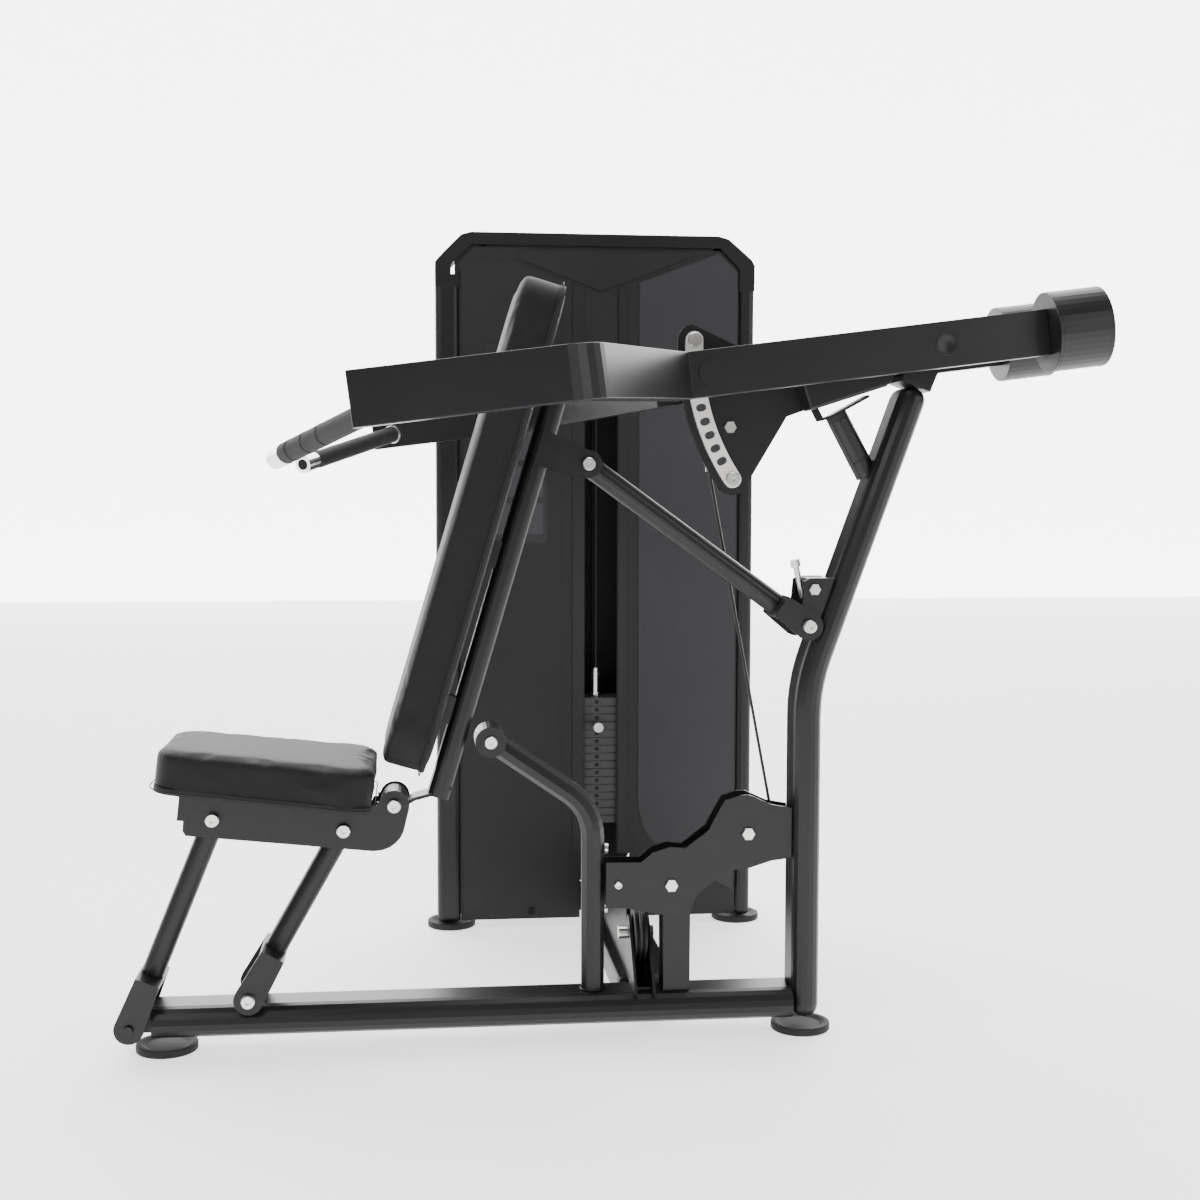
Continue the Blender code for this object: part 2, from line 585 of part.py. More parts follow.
def build_stack():
    """The weights: the upper plates ride with the selector stem, the lower ones stay."""
    centre = PULLEY_E.x
    half, y_low, y_high = STACK_WIDE / 2, STACK_Y - STACK_DEEP / 2, STACK_Y + STACK_DEEP / 2
    seam = STACK_FOOT + RESTING_PLATES * WEIGHT_PITCH
    top = seam + LIFTED_PLATES * WEIGHT_PITCH
    pivot = make_empty("joint_weight_stack", (centre, STACK_Y, seam))
    for name, low, high, owner in (("weights_resting", STACK_FOOT, seam - GAP, None),
                                   ("weights_lifted", seam, top, pivot)):
        block = box((centre - half, y_low, low), (centre + half, y_high, high))
        for side in (-1, 1):
            x = centre + side * ROD_SPACING / 2 * 1.5
            cut(block, rod(ROD_RADIUS + 0.002, (x, STACK_Y, 0.1), (x, STACK_Y, 0.9), 16))
        cut(block, rod(0.0125, (centre, STACK_Y, 0.1), (centre, STACK_Y, 0.9), 16))
        count = RESTING_PLATES if owner is None else LIFTED_PLATES
        for i in range(1, count):
            z = low + i * WEIGHT_PITCH
            cut(block, box((centre - 0.2, y_low - 0.01, z - 0.0011), (centre + 0.2, y_low + 0.003, z)))
        if owner is not None:
            z = low + 0.009
            cut(block, rod(0.0053, (centre, y_low - 0.01, z), (centre, STACK_Y + 0.018, z), 16))
        adopt(baked(block), name, CAST_IRON, owner)
    stem = rod(0.012, (centre, STACK_Y, 0.3), (centre, STACK_Y, top + 0.010), 16)
    cut(stem, rod(0.0053, (centre, STACK_Y - 0.02, seam + 0.009), (centre, STACK_Y + 0.02, seam + 0.009), 16))
    union(stem, rod(0.009, (centre, STACK_Y, top), (centre, STACK_Y, top + 0.065), 16))
    adopt(stem, "selector_stem", ZINC, pivot)
    pin_y = y_low - 0.034
    pin_pivot = make_empty("joint_weight_pin", (centre, pin_y, seam + 0.009))
    pin = union(rod(0.005, (centre, pin_y, seam + 0.009), (centre, STACK_Y + 0.016, seam + 0.009), 16),
                rod(0.011, (centre, pin_y - 0.004, seam + 0.009), (centre, pin_y + 0.024, seam + 0.009), 16))
    adopt(pin, "weight_pin", ZINC, pin_pivot)


# ---------------------------------------------------------------- lever and press arms
def build_lever():
    pivot = make_empty("joint_lever", PIVOT)
    shape = [(-0.2380, -0.0410), (-0.0900, -0.0410), (-0.0300, -0.0050), (-0.0200, 0.0200),
             (-0.0500, 0.0410), (-0.2380, 0.0410)]
    channel = local_plate([shape], -0.030, 0.030, PIVOT, LEVER_SLOPE)
    soften(channel, 0.005, 2)
    hub = across(PIVOT, 0.030, -0.0341, 0.0341)
    channel = baked(channel)
    union(channel, hub)
    strap = [(1.1600, 1.1500), (1.1740, 1.1237), (1.1900, 1.1283), (1.2600, 1.1664)]
    union(channel, side_plate([band(strap, 0.005)], -0.020, 0.020))
    cut(channel, across(PIVOT, 0.0128, -0.1, 0.1))
    adopt(channel, "lever_channel", BLACK_PAINT, pivot)

    centre = xz(PIVOT)
    top = (centre[0] + ARC_RADIUS * math.cos(ARC_TOP), centre[1] + ARC_RADIUS * math.sin(ARC_TOP))
    foot = (centre[0] + ARC_RADIUS * math.cos(ARC_FOOT), centre[1] + ARC_RADIUS * math.sin(ARC_FOOT))
    outline = arc_points(top, 0.029, ARC_TOP - math.radians(80), ARC_TOP, 6)
    outline += arc_points(centre, ARC_RADIUS + 0.029, ARC_TOP + 0.03, ARC_FOOT - 0.03, 12)
    outline += arc_points(foot, 0.029, ARC_FOOT, ARC_FOOT + math.radians(120), 7)
    outline += [(1.120, 1.130), (1.145, 1.139), (1.262, 1.180), (1.250, 1.246), (1.075, 1.236)]
    plate = side_plate([outline], PLATE_Y, PLATE_Y + PLATE_THICK)
    holes = [(PIVOT.x + ARC_RADIUS * math.cos(ARC_FIRST + i * ARC_PITCH),
              PIVOT.z + ARC_RADIUS * math.sin(ARC_FIRST + i * ARC_PITCH)) for i in range(ARC_HOLES)]
    for i, (x, z) in enumerate(holes):
        cut(plate, across(Vector((x, 0, z)), 0.0100, 0.0, 0.1, steps=16))
    union(plate, across(CABLE_ANCHOR, 0.007, PLATE_Y + PLATE_THICK - 0.002, 0.0580, steps=16))
    adopt(baked(plate), "lever_plate", BLACK_PAINT, pivot)

    half = ARC_WIDTH / 2
    strip = arc_points(centre, ARC_RADIUS + half, ARC_TOP, ARC_FOOT, 24)
    strip += arc_points(foot, half, ARC_FOOT, ARC_FOOT + math.pi, 8)[1:-1]
    strip += arc_points(centre, ARC_RADIUS - half, ARC_FOOT, ARC_TOP, 24)
    strip += arc_points(top, half, ARC_TOP + math.pi, ARC_TOP + 2 * math.pi, 8)[1:-1]
    slots = []
    for i, (x, z) in enumerate(holes):
        angle = ARC_FIRST + i * ARC_PITCH
        inner = (x - 0.003 * math.cos(angle), z - 0.003 * math.sin(angle))
        outer = (x + 0.003 * math.cos(angle), z + 0.003 * math.sin(angle))
        slots.append(arc_points(outer, 0.0070, angle - math.pi / 2, angle + math.pi / 2, 6)
                     + arc_points(inner, 0.0070, angle + math.pi / 2, angle + 3 * math.pi / 2, 6))
    adopt(side_plate([strip] + slots, ARC_Y, PLATE_Y - GAP), "selector_arc", ZINC, pivot)


def arm_frame():
    """Places a piece drawn about the pivot, with the arm along -X, into the arm's slope."""
    return Matrix.Translation(PIVOT) @ Matrix.Rotation(-ARM_SLOPE, 4, "Y")


def build_arms():
    pivot = make_empty("joint_press_arms", PIVOT)
    stub = Vector((PIVOT.x - 0.4150 * math.cos(ARM_SLOPE), 0, PIVOT.z - 0.4150 * math.sin(ARM_SLOPE)))
    for side, word in ((-1, "near"), (1, "far")):
        elbow, bend = Vector((ARM_ELBOW, side * ARM_Y)), Vector((ARM_BEND, side * ARM_OUT_Y))
        slant = (bend - elbow).normalized()
        turn = math.acos(slant.dot(Vector((-1, 0))))
        reach = ARM_BEND_RADIUS * math.tan(turn / 2)
        last = bend + Vector((-reach, 0))
        middle = last - Vector((0, side * ARM_BEND_RADIUS))
        sweep = arc_points(middle, ARM_BEND_RADIUS, side * (math.pi / 2 - turn), side * math.pi / 2, 6)
        line = [(ARM_REAR - GAP, side * ARM_Y), tuple(elbow)] + sweep + [(ARM_FRONT, side * ARM_OUT_Y)]
        outline = band(line, ARM_WIDE)
        arm = level_plate([outline if side < 0 else outline[::-1]], -ARM_TALL / 2, ARM_TALL / 2)
        soften(arm, 0.009, 3, 60)
        arm = baked(arm)
        arm.data.transform(arm_frame())
        inner = ARM_Y - ARM_WIDE / 2 + 0.004
        union(arm, across(PIVOT, 0.024, *sorted((side * 0.0436, side * inner))))
        if side < 0:
            union(arm, across(stub, 0.025, -0.1420, 0.0120))
            cut(arm, across(stub, 0.0068, -0.0700, 0.05, steps=16))
            slot = box((stub.x, -0.0400, stub.z - 0.0045), (stub.x + 0.040, -0.0050, stub.z + 0.0045))
            cut(arm, slot)
        cut(arm, across(PIVOT, 0.0128, -0.2, 0.2))
        adopt(baked(arm), "arm_" + word, BLACK_PAINT, pivot)

        weight = rod(WEIGHT_RADIUS, (ARM_REAR, side * (ARM_Y + 0.0025), 0),
                     (ARM_REAR + WEIGHT_LENGTH, side * (ARM_Y + 0.0025), 0), 40)
        soften(weight, 0.003, 2)
        weight = baked(weight)
        weight.data.transform(arm_frame())
        adopt(weight, "counterweight_" + word, BLACK_PAINT, pivot)

        mirror = Vector((1, -side, 1))
        root, end = GRIP_ROOT * mirror, GRIP_FAR_END * mirror
        along = (end - root).normalized()
        wall = side * (ARM_OUT_Y - ARM_WIDE / 2 - GAP)
        sleeve = rod(0.0170, root, end - along * 0.038)
        far_y = side * 0.70
        cut(sleeve, box((0.2, min(wall, far_y), 1.0), (0.6, max(wall, far_y), 1.25)))
        adopt(sleeve, "grip_" + word, RUBBER, pivot)
        adopt(soften(rod(0.0175, end - along * (0.038 - GAP), end), 0.002, 2), "grip_cap_" + word,
              CHROME, pivot)
    adopt(across(PIVOT, 0.0125, -0.1300, 0.1300), "pivot_shaft", ZINC, pivot)

    pin_pivot = make_empty("joint_arm_pin", stub)
    knob = ARC_Y - GAP - 0.0510
    pin = union(across(stub, 0.0062, knob - 0.0230, ARC_Y - 0.0025, steps=16),
                rod(0.0035, (stub.x, knob, stub.z), (stub.x + 0.0350, knob, stub.z), 12),
                rod(0.0100, (stub.x + 0.0300, knob, stub.z), (stub.x + 0.0480, knob, stub.z), 16))
    adopt(pin, "arm_pin", ZINC, pin_pivot)


# ---------------------------------------------------------------- seat, backrest and their linkage
def build_leg(name, foot, top, pivot, pinned):
    """A round leg: a fork astride the beam at its foot, a barrel in the seat frame at its top."""
    along = (top - foot).normalized()
    angle = math.atan2(along.z, along.x) - math.pi / 2
    leg = rod(ROUND_TUBE, foot + along * 0.080, top)
    fork = [(-0.022, 0.088), (-0.026, 0.0)] + arc_points((0, 0), 0.026, math.pi, 2 * math.pi, 10)[1:]
    fork = (fork + [(0.022, 0.088)])[::-1]
    for side in (-1, 1):
        inner, outer = sorted((side * CLEVIS_Y, side * (CLEVIS_Y + 0.0060)))
        plate = local_plate([fork[::-1]], inner, outer, foot, angle)
        cut(plate, across(foot, 0.0083, -0.1, 0.1))
        union(leg, baked(plate))
    bridge = local_plate([flat_rect(-0.022, 0.076, 0.022, 0.088)], -CLEVIS_Y - 0.003, CLEVIS_Y + 0.003,
                         foot, angle)
    union(leg, bridge)
    union(leg, across(top, 0.0230, -SEAT_CHEEK_Y + 0.0006, SEAT_CHEEK_Y - 0.0006))
    if pinned:
        cut(leg, across(top, 0.0083, -0.1, 0.1))
    adopt(baked(leg), name, BLACK_PAINT, pivot)


def bolt_across(name, centre, radius, reach, head, material, owner=None):
    """A through bolt along Y with a round head on each side; reach is the outer face it clamps."""
    bolt = union(across(centre, radius, -reach - 0.004, reach + 0.004, steps=16),
                 across(centre, head, -reach - 0.0055, -reach - GAP, steps=16),
                 across(centre, head, reach + GAP, reach + 0.0055, steps=16))
    adopt(bolt, name, material, owner)


def build_seat():
    front = make_empty("joint_front_leg", LEG_FRONT_FOOT)
    rear = make_empty("joint_rear_leg", LEG_REAR_FOOT)
    build_leg("front_leg", LEG_FRONT_FOOT, SEAT_PIN_FRONT, front, True)
    build_leg("rear_leg", LEG_REAR_FOOT, SEAT_PIN_REAR, rear, False)

    pivot = make_empty("joint_seat", SEAT_PIN_FRONT)
    s = BACK_PIN
    cheek = [(0.0420, 0.4490), (0.0390, 0.4020), (0.0440, 0.3940), (0.3650, 0.3600)]
    cheek += arc_points((0.3720, 0.4120), 0.0520, -math.pi / 2, -0.35, 5)
    cheek += arc_points(xz(s), 0.0270, -0.25, math.pi - 0.25, 9)
    cheek += [(0.3700, 0.4480), (0.3600, 0.4250)]
    cheek = cheek[::-1]
    drop = SEAT_LEAN
    frame = local_plate([flat_rect(0.050, -0.008, 0.340, 0.0)], -SEAT_CHEEK_Y - 0.004,
                        SEAT_CHEEK_Y + 0.004, seat_point(0.0, SEAT_THICK + GAP), -drop)
    for side in (-1, 1):
        inner, outer = sorted((side * SEAT_CHEEK_Y, side * (SEAT_CHEEK_Y + 0.0050)))
        plate = side_plate([cheek], inner, outer)
        cut(plate, box((0.0, -0.1, 0.44), (0.3740, 0.1, 0.60)))
        stub = across(SEAT_PIN_REAR, 0.0120, *sorted((side * (SEAT_CHEEK_Y + 0.002),
                                                      side * (SEAT_CHEEK_Y + 0.0110))), steps=16)
        union(frame, baked(plate), stub)
    upper = local_plate([flat_rect(0.045, -0.060, 0.370, 0.0)], -SEAT_CHEEK_Y - 0.005,
                        SEAT_CHEEK_Y + 0.005, seat_point(0.0, SEAT_THICK + GAP), -drop)
    hollow = local_plate([flat_rect(0.0, -0.100, 0.400, -0.006)], -SEAT_CHEEK_Y, SEAT_CHEEK_Y,
                         seat_point(0.0, SEAT_THICK + GAP), -drop)
    cut(upper, hollow)
    union(frame, baked(upper))
    for centre in (SEAT_PIN_FRONT, s):
        cut(frame, across(centre, 0.0083, -0.1, 0.1))
    adopt(baked(frame), "seat_frame", BLACK_PAINT, pivot)

    a, b, r = SEAT_WIDE_FRONT / 2, SEAT_WIDE_REAR / 2, SEAT_CORNER
    plan = rounded([(0, -a, r), (SEAT_LONG, -b, r * 0.7), (SEAT_LONG, b, r * 0.7), (0, a, r)], 6)
    pad = level_plate([plan], -SEAT_THICK, 0.0)
    soften(pad, 0.010, 2)
    pad = baked(pad)
    pad.data.transform(Matrix.Translation(SEAT_FRONT_TOP) @ Matrix.Rotation(drop, 4, "Y"))
    adopt(pad, "seat_pad", VINYL, pivot)

    back = make_empty("joint_backrest", BACK_PIN)
    barrel = across(BACK_PIN, 0.0240, -SEAT_CHEEK_Y + 0.0006, SEAT_CHEEK_Y - 0.0006)
    section = rounded_box(BACK_TUBE_FRONT - BACK_TUBE_REAR, BACK_TUBE_WIDE, 0.014, 4)
    mesh = extrude([section], 0.810)
    middle = Vector((0.435, 0, (BACK_TUBE_FRONT + BACK_TUBE_REAR) / 2))
    mesh.transform(Matrix.Translation(middle) @ Matrix.Rotation(math.pi / 2, 4, "Y"))
    mesh.transform(Matrix.Translation(BACK_PIN) @ Matrix.Rotation(-BACK_LEAN, 4, "Y"))
    rail = link_mesh(mesh, "rail")
    shelf = side_plate([band([(0.4150, 0.4330), (0.4400, 0.4470), (0.5060, 0.4640)], 0.0060)], -0.0275, 0.0275)
    b = STRUT_TOP
    tip = (Vector((b.x, b.z)) - Vector(xz(BACK_PIN)))
    c, sn = math.cos(BACK_LEAN), math.sin(BACK_LEAN)
    local_b = (tip.x * c + tip.y * sn, -tip.x * sn + tip.y * c)
    lobe = [(local_b[0] + 0.036, BACK_TUBE_REAR + 0.026), (local_b[0] - 0.030, BACK_TUBE_REAR + 0.026)]
    lobe = lobe[::-1] + arc_points(local_b, 0.025, 0.3, -math.pi - 0.3, 12)
    union(rail, barrel, shelf)
    for side in (-1, 1):
        inner, outer = sorted((side * FORK_Y, side * (FORK_Y + 0.0050)))
        plate = local_plate([lobe[::-1]], inner, outer, BACK_PIN, BACK_LEAN)
        stub = across(b, 0.0120, *sorted((side * (FORK_Y + 0.003), side * (FORK_Y + 0.0130))))
        rail = baked(union(rail, union(plate, stub)))
    for low in (0.16, 0.45, 0.78):
        block = local_plate([flat_rect(low, BACK_TUBE_FRONT - 0.004, low + 0.050, BACK_PAD_REAR - GAP)],
                            -0.022, 0.022, BACK_PIN, BACK_LEAN)
        union(rail, block)
    cut(rail, across(BACK_PIN, 0.0083, -0.1, 0.1))
    adopt(baked(rail), "back_frame", BLACK_PAINT, back)

    h, r = BACK_PAD_HALF, BACK_CORNER
    plan = rounded([(BACK_PAD_LOW, -h, r), (BACK_PAD_HIGH, -h, r), (BACK_PAD_HIGH, h, r),
                    (BACK_PAD_LOW, h, r)], 6)
    pad = level_plate([plan], BACK_PAD_REAR, BACK_PAD_FRONT)
    soften(pad, 0.010, 2)
    pad = baked(pad)
    pad.data.transform(Matrix.Translation(BACK_PIN) @ Matrix.Rotation(-BACK_LEAN, 4, "Y"))
    adopt(pad, "back_pad", VINYL, back)

    clevis_out = CLEVIS_Y + 0.0060
    bolt_across("rear_leg_bolt", LEG_REAR_FOOT, 0.008, clevis_out, 0.0120, ZINC)
    seat_out = SEAT_CHEEK_Y + 0.0050
    bolt_across("seat_front_bolt", SEAT_PIN_FRONT, 0.008, seat_out, 0.0120, ZINC, pivot)
    bolt_across("seat_back_bolt", BACK_PIN, 0.008, seat_out, 0.0120, ZINC, pivot)


def seat_point(along, down):
    """A point on the seat's centre plane, measured from the pad's front top edge."""
    c, s = math.cos(SEAT_LEAN), math.sin(SEAT_LEAN)
    return SEAT_FRONT_TOP + Vector((along * c - down * s, 0, -along * s - down * c))


def upright_front(z, off):
    """A point ahead of the leaning upright's front face, off metres clear of it."""
    start = UPRIGHT_BEND_Z - UPRIGHT_BEND_RADIUS * math.tan(UPRIGHT_LEAN / 2)
    c, s = math.cos(UPRIGHT_LEAN), math.sin(UPRIGHT_LEAN)
    axis = (UPRIGHT_X + UPRIGHT_BEND_RADIUS * (1 - c), start + UPRIGHT_BEND_RADIUS * s)
    face = (axis[0] - c * UPRIGHT_DEEP / 2, axis[1] + s * UPRIGHT_DEEP / 2)
    return (face[0] + (z - face[1]) * s / c - off / c, z)


def build_strut():
    """The backrest's strut, its fork astride the upright, and the bracket that it is locked to."""
    pivot = make_empty("joint_strut", STRUT_FOOT)
    along = (STRUT_TOP - STRUT_FOOT).normalized()
    angle = math.atan2(along.z, along.x) - math.pi / 2
    bar = rod(ROUND_TUBE, STRUT_FOOT + along * 0.052, STRUT_TOP)
    fork_y = UPRIGHT_WIDE / 2 + 0.0005
    fork = [(-0.021, 0.062), (-0.026, 0.0)] + arc_points((0, 0), 0.026, math.pi, 2 * math.pi, 10)[1:]
    fork = fork + [(0.021, 0.062)]
    for side in (-1, 1):
        inner, outer = sorted((side * fork_y, side * (fork_y + 0.0050)))
        plate = local_plate([fork], inner, outer, STRUT_FOOT, angle)
        cut(plate, across(STRUT_FOOT, 0.0083, -0.1, 0.1))
        union(bar, baked(plate))
    bridge = local_plate([flat_rect(-0.021, 0.050, 0.021, 0.062)], -fork_y - 0.003, fork_y + 0.003,
                         STRUT_FOOT, angle)
    union(bar, bridge, across(STRUT_TOP, 0.0220, -FORK_Y + 0.0006, FORK_Y - 0.0006))
    adopt(baked(bar), "strut", BLACK_PAINT, pivot)

    anchor = across(STRUT_FOOT, 0.0155, -fork_y + 0.0003, fork_y - 0.0003)
    cheek = arc_points(xz(STRUT_FOOT), 0.0150, math.radians(170), math.radians(270), 6)
    cheek += [upright_front(0.7374, 0.0006), upright_front(0.8385, 0.0006), (1.1480, 0.8385),
              (1.1380, 0.8330)]
    for side in (-1, 1):
        inner, outer = sorted((side * 0.0420, side * 0.0490))
        union(anchor, side_plate([cheek], inner, outer))
    lid = side_plate([[(1.1410, 0.8300), upright_front(0.8300, 0.0020), upright_front(0.8370, 0.0020),
                       (1.1480, 0.8370)]], -0.0450, 0.0450)
    foot, head = Vector((1.1460, 0.0, 0.8000)), Vector((1.1300, 0.0, 0.8700))
    lift = (head - foot).normalized()
    union(anchor, lid)
    cut(anchor, across(STRUT_FOOT, 0.0083, -0.1, 0.1), rod(0.0061, foot - lift * 0.01, head, 16))
    adopt(baked(anchor), "strut_anchor", BLACK_PAINT)
    bolt_across("strut_bolt", STRUT_FOOT, 0.008, fork_y + 0.0050, 0.0120, ZINC)

    pin_pivot = make_empty("joint_back_pin", foot)
    pin = union(rod(0.0055, foot, head, 16), rod(0.0090, head - lift * 0.014, head, 20))
    adopt(pin, "back_pull_pin", ZINC, pin_pivot)


# ---------------------------------------------------------------- cable
def groove_arc(centre, axes, start, end):
    """Points of the cable in a pulley's groove; axes names the two directions it turns in."""
    radius = GROOVE_RADIUS + CABLE_RADIUS + 0.0004
    first, second = axes
    steps = round(abs(end - start) / 7.5)
    angles = [math.radians(start + (end - start) * i / steps) for i in range(steps + 1)]
    return [centre + first * radius * math.cos(a) + second * radius * math.sin(a) for a in angles]


def build_cable():
    x, y, z = Vector((1, 0, 0)), Vector((0, 1, 0)), Vector((0, 0, 1))
    lift = Vector((0, 0, 0.012))
    top = CABLE_ANCHOR - lift
    leave = PULLEY_A + Vector((GROOVE_RADIUS + CABLE_RADIUS + GAP, 0, 0.004))
    adopt(tube([top, leave + z * 0.001], CABLE_RADIUS, 8), "cable_lever", CABLE_SHEATH)
    run = [leave]
    run += groove_arc(PULLEY_A, (x, z), -2, -128)
    run += groove_arc(PULLEY_B, (x, z), 52, 180)
    bottom = PULLEY_C.z
    left_x = PULLEY_B.x - (GROOVE_RADIUS + CABLE_RADIUS + GAP)
    start = Vector((left_x, 0, 0.235))
    run += [start]
    run += groove_arc(PULLEY_C, (y, z), 180, 270)
    run += groove_arc(PULLEY_D, (y, z), 270, 360)
    run += groove_arc(PULLEY_E, (y, z), 0, 180)
    end = run[-1]
    adopt(tube(run, CABLE_RADIUS, 8), "cable_run", CABLE_SHEATH)
    top_of_hanger = STACK_FOOT + (RESTING_PLATES + LIFTED_PLATES) * WEIGHT_PITCH + 0.0653
    adopt(tube([end - z * 0.0006, Vector((end.x, end.y, top_of_hanger))], CABLE_RADIUS, 8),
          "cable_stack", CABLE_SHEATH)


build_base()
build_upright()
build_back_post()
build_pulley_frame()
build_tower()
build_stack()
build_lever()
build_arms()
build_seat()
build_strut()
build_cable()
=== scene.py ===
"""Looks of the multi press: materials, sewn pads, fasteners, cables, cover mouldings and a pale studio."""

import json
import math

import bmesh
import bpy
from mathutils import Matrix, Vector

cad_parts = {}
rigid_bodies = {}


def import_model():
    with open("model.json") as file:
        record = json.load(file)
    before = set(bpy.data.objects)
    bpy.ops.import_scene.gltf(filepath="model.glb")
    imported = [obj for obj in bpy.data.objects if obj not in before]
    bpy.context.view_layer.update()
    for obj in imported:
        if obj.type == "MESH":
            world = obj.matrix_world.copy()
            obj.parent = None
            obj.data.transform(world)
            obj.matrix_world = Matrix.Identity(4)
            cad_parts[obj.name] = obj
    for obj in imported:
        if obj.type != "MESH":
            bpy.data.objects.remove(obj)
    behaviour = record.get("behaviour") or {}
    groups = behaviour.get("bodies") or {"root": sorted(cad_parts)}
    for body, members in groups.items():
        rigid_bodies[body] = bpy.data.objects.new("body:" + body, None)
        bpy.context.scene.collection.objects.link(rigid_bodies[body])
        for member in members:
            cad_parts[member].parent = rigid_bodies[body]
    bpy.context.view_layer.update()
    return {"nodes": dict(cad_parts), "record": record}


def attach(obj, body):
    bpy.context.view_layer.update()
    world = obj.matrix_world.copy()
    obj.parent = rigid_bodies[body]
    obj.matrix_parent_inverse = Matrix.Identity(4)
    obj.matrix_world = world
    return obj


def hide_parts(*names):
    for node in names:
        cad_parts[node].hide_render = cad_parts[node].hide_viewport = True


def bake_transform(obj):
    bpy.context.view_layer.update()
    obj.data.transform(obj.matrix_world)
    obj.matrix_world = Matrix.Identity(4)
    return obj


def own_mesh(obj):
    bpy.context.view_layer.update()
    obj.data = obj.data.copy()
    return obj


for old in list(bpy.data.objects):
    bpy.data.objects.remove(old)
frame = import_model()
NODES, RECORD = frame["nodes"], frame["record"]

PIVOT = Vector((1.3636, 0.0, 1.25))        # the shaft that carries the lever and both press arms
ARM_SLOPE = math.radians(7.35)             # the arms' rise towards the counterweights
GRIP_ROOT = (0.3990, 0.5860, 1.1137)       # where a grip leaves its arm, on the far side
GRIP_RUN = (-0.1632, -0.260, -0.0665)      # the way that grip runs
COVER_FACE = 0.7570                        # front face of the tower's covers
PLATE_FRONT, PLATE_FOOT = 0.766, 0.235     # the weights' front edge, and the lowest plate's underside
PLATE_PITCH, PLATES, RESTING = 0.018, 16, 12
CABLE_RADIUS = 0.0028
PUFF_LIMIT, PUFF_FRAMES = 0.006, 20        # how far the cloth may carry a pad's cover, and in how many frames


# ---------------------------------------------------------------- camera
def add_camera():
    data = bpy.data.cameras.new("photo_camera")
    data.lens = 49.32
    data.sensor_width = 36.0
    data.sensor_fit = "HORIZONTAL"
    camera = bpy.data.objects.new("photo_camera", data)
    bpy.context.scene.collection.objects.link(camera)
    yaw, pitch, roll = math.radians(6.345), math.radians(3.807), math.radians(0.132)
    ahead = Vector((math.sin(yaw) * math.cos(pitch), math.cos(yaw) * math.cos(pitch), -math.sin(pitch)))
    right = Vector((math.cos(yaw), -math.sin(yaw), 0))
    up = right.cross(ahead)
    level, tall = right * math.cos(roll) + up * math.sin(roll), up * math.cos(roll) - right * math.sin(roll)
    turn = Matrix((level, tall, -ahead)).transposed().to_4x4()
    camera.matrix_world = Matrix.Translation((0.4471, -2.9358, 0.9945)) @ turn
    bpy.context.scene.camera = camera


add_camera()


# ---------------------------------------------------------------- materials
def colour(value):
    return (*value, 1.0)


def material(name, dark, light, rough, metal=0.0, grain=120.0, bump=0.1, depth=0.0004, kind="noise",
             patches=3.0, coat=0.0, stretch=(1, 1, 1), sheen=0.30):
    """A finish with fine grain in its relief and slow patches in its colour and roughness."""
    made = bpy.data.materials.new(name)
    made.use_nodes = True
    tree = made.node_tree
    shader = tree.nodes["Principled BSDF"]
    shader.inputs["Metallic"].default_value = metal
    shader.inputs["Specular IOR Level"].default_value = 0.5 if metal else sheen
    shader.inputs["Coat Weight"].default_value = coat
    shader.inputs["Coat Roughness"].default_value = 0.25
    place = tree.nodes.new("ShaderNodeTexCoord")
    scaled = tree.nodes.new("ShaderNodeMapping")
    scaled.inputs["Scale"].default_value = stretch
    tree.links.new(place.outputs["Object"], scaled.inputs["Vector"])
    slow = tree.nodes.new("ShaderNodeTexNoise")
    slow.inputs["Scale"].default_value = patches
    slow.inputs["Detail"].default_value = 6.0
    tree.links.new(scaled.outputs["Vector"], slow.inputs["Vector"])
    mix = tree.nodes.new("ShaderNodeMix")
    mix.data_type = "RGBA"
    mix.inputs["A"].default_value = colour(dark)
    mix.inputs["B"].default_value = colour(light)
    tree.links.new(slow.outputs["Fac"], mix.inputs["Factor"])
    tree.links.new(mix.outputs["Result"], shader.inputs["Base Color"])
    spread = tree.nodes.new("ShaderNodeMapRange")
    spread.inputs["To Min"].default_value = rough - 0.05
    spread.inputs["To Max"].default_value = rough + 0.06
    tree.links.new(slow.outputs["Fac"], spread.inputs["Value"])
    tree.links.new(spread.outputs["Result"], shader.inputs["Roughness"])
    if kind == "voronoi":
        fine = tree.nodes.new("ShaderNodeTexVoronoi")
        fine.feature = "DISTANCE_TO_EDGE"
        out = fine.outputs["Distance"]
    elif kind == "wave":
        fine = tree.nodes.new("ShaderNodeTexWave")
        fine.bands_direction = "DIAGONAL"
        out = fine.outputs["Fac"]
    else:
        fine = tree.nodes.new("ShaderNodeTexNoise")
        fine.inputs["Detail"].default_value = 3.0
        out = fine.outputs["Fac"]
    fine.inputs["Scale"].default_value = grain
    tree.links.new(scaled.outputs["Vector"], fine.inputs["Vector"])
    relief = tree.nodes.new("ShaderNodeBump")
    relief.inputs["Strength"].default_value = bump
    relief.inputs["Distance"].default_value = depth
    tree.links.new(out, relief.inputs["Height"])
    tree.links.new(relief.outputs["Normal"], shader.inputs["Normal"])
    return made


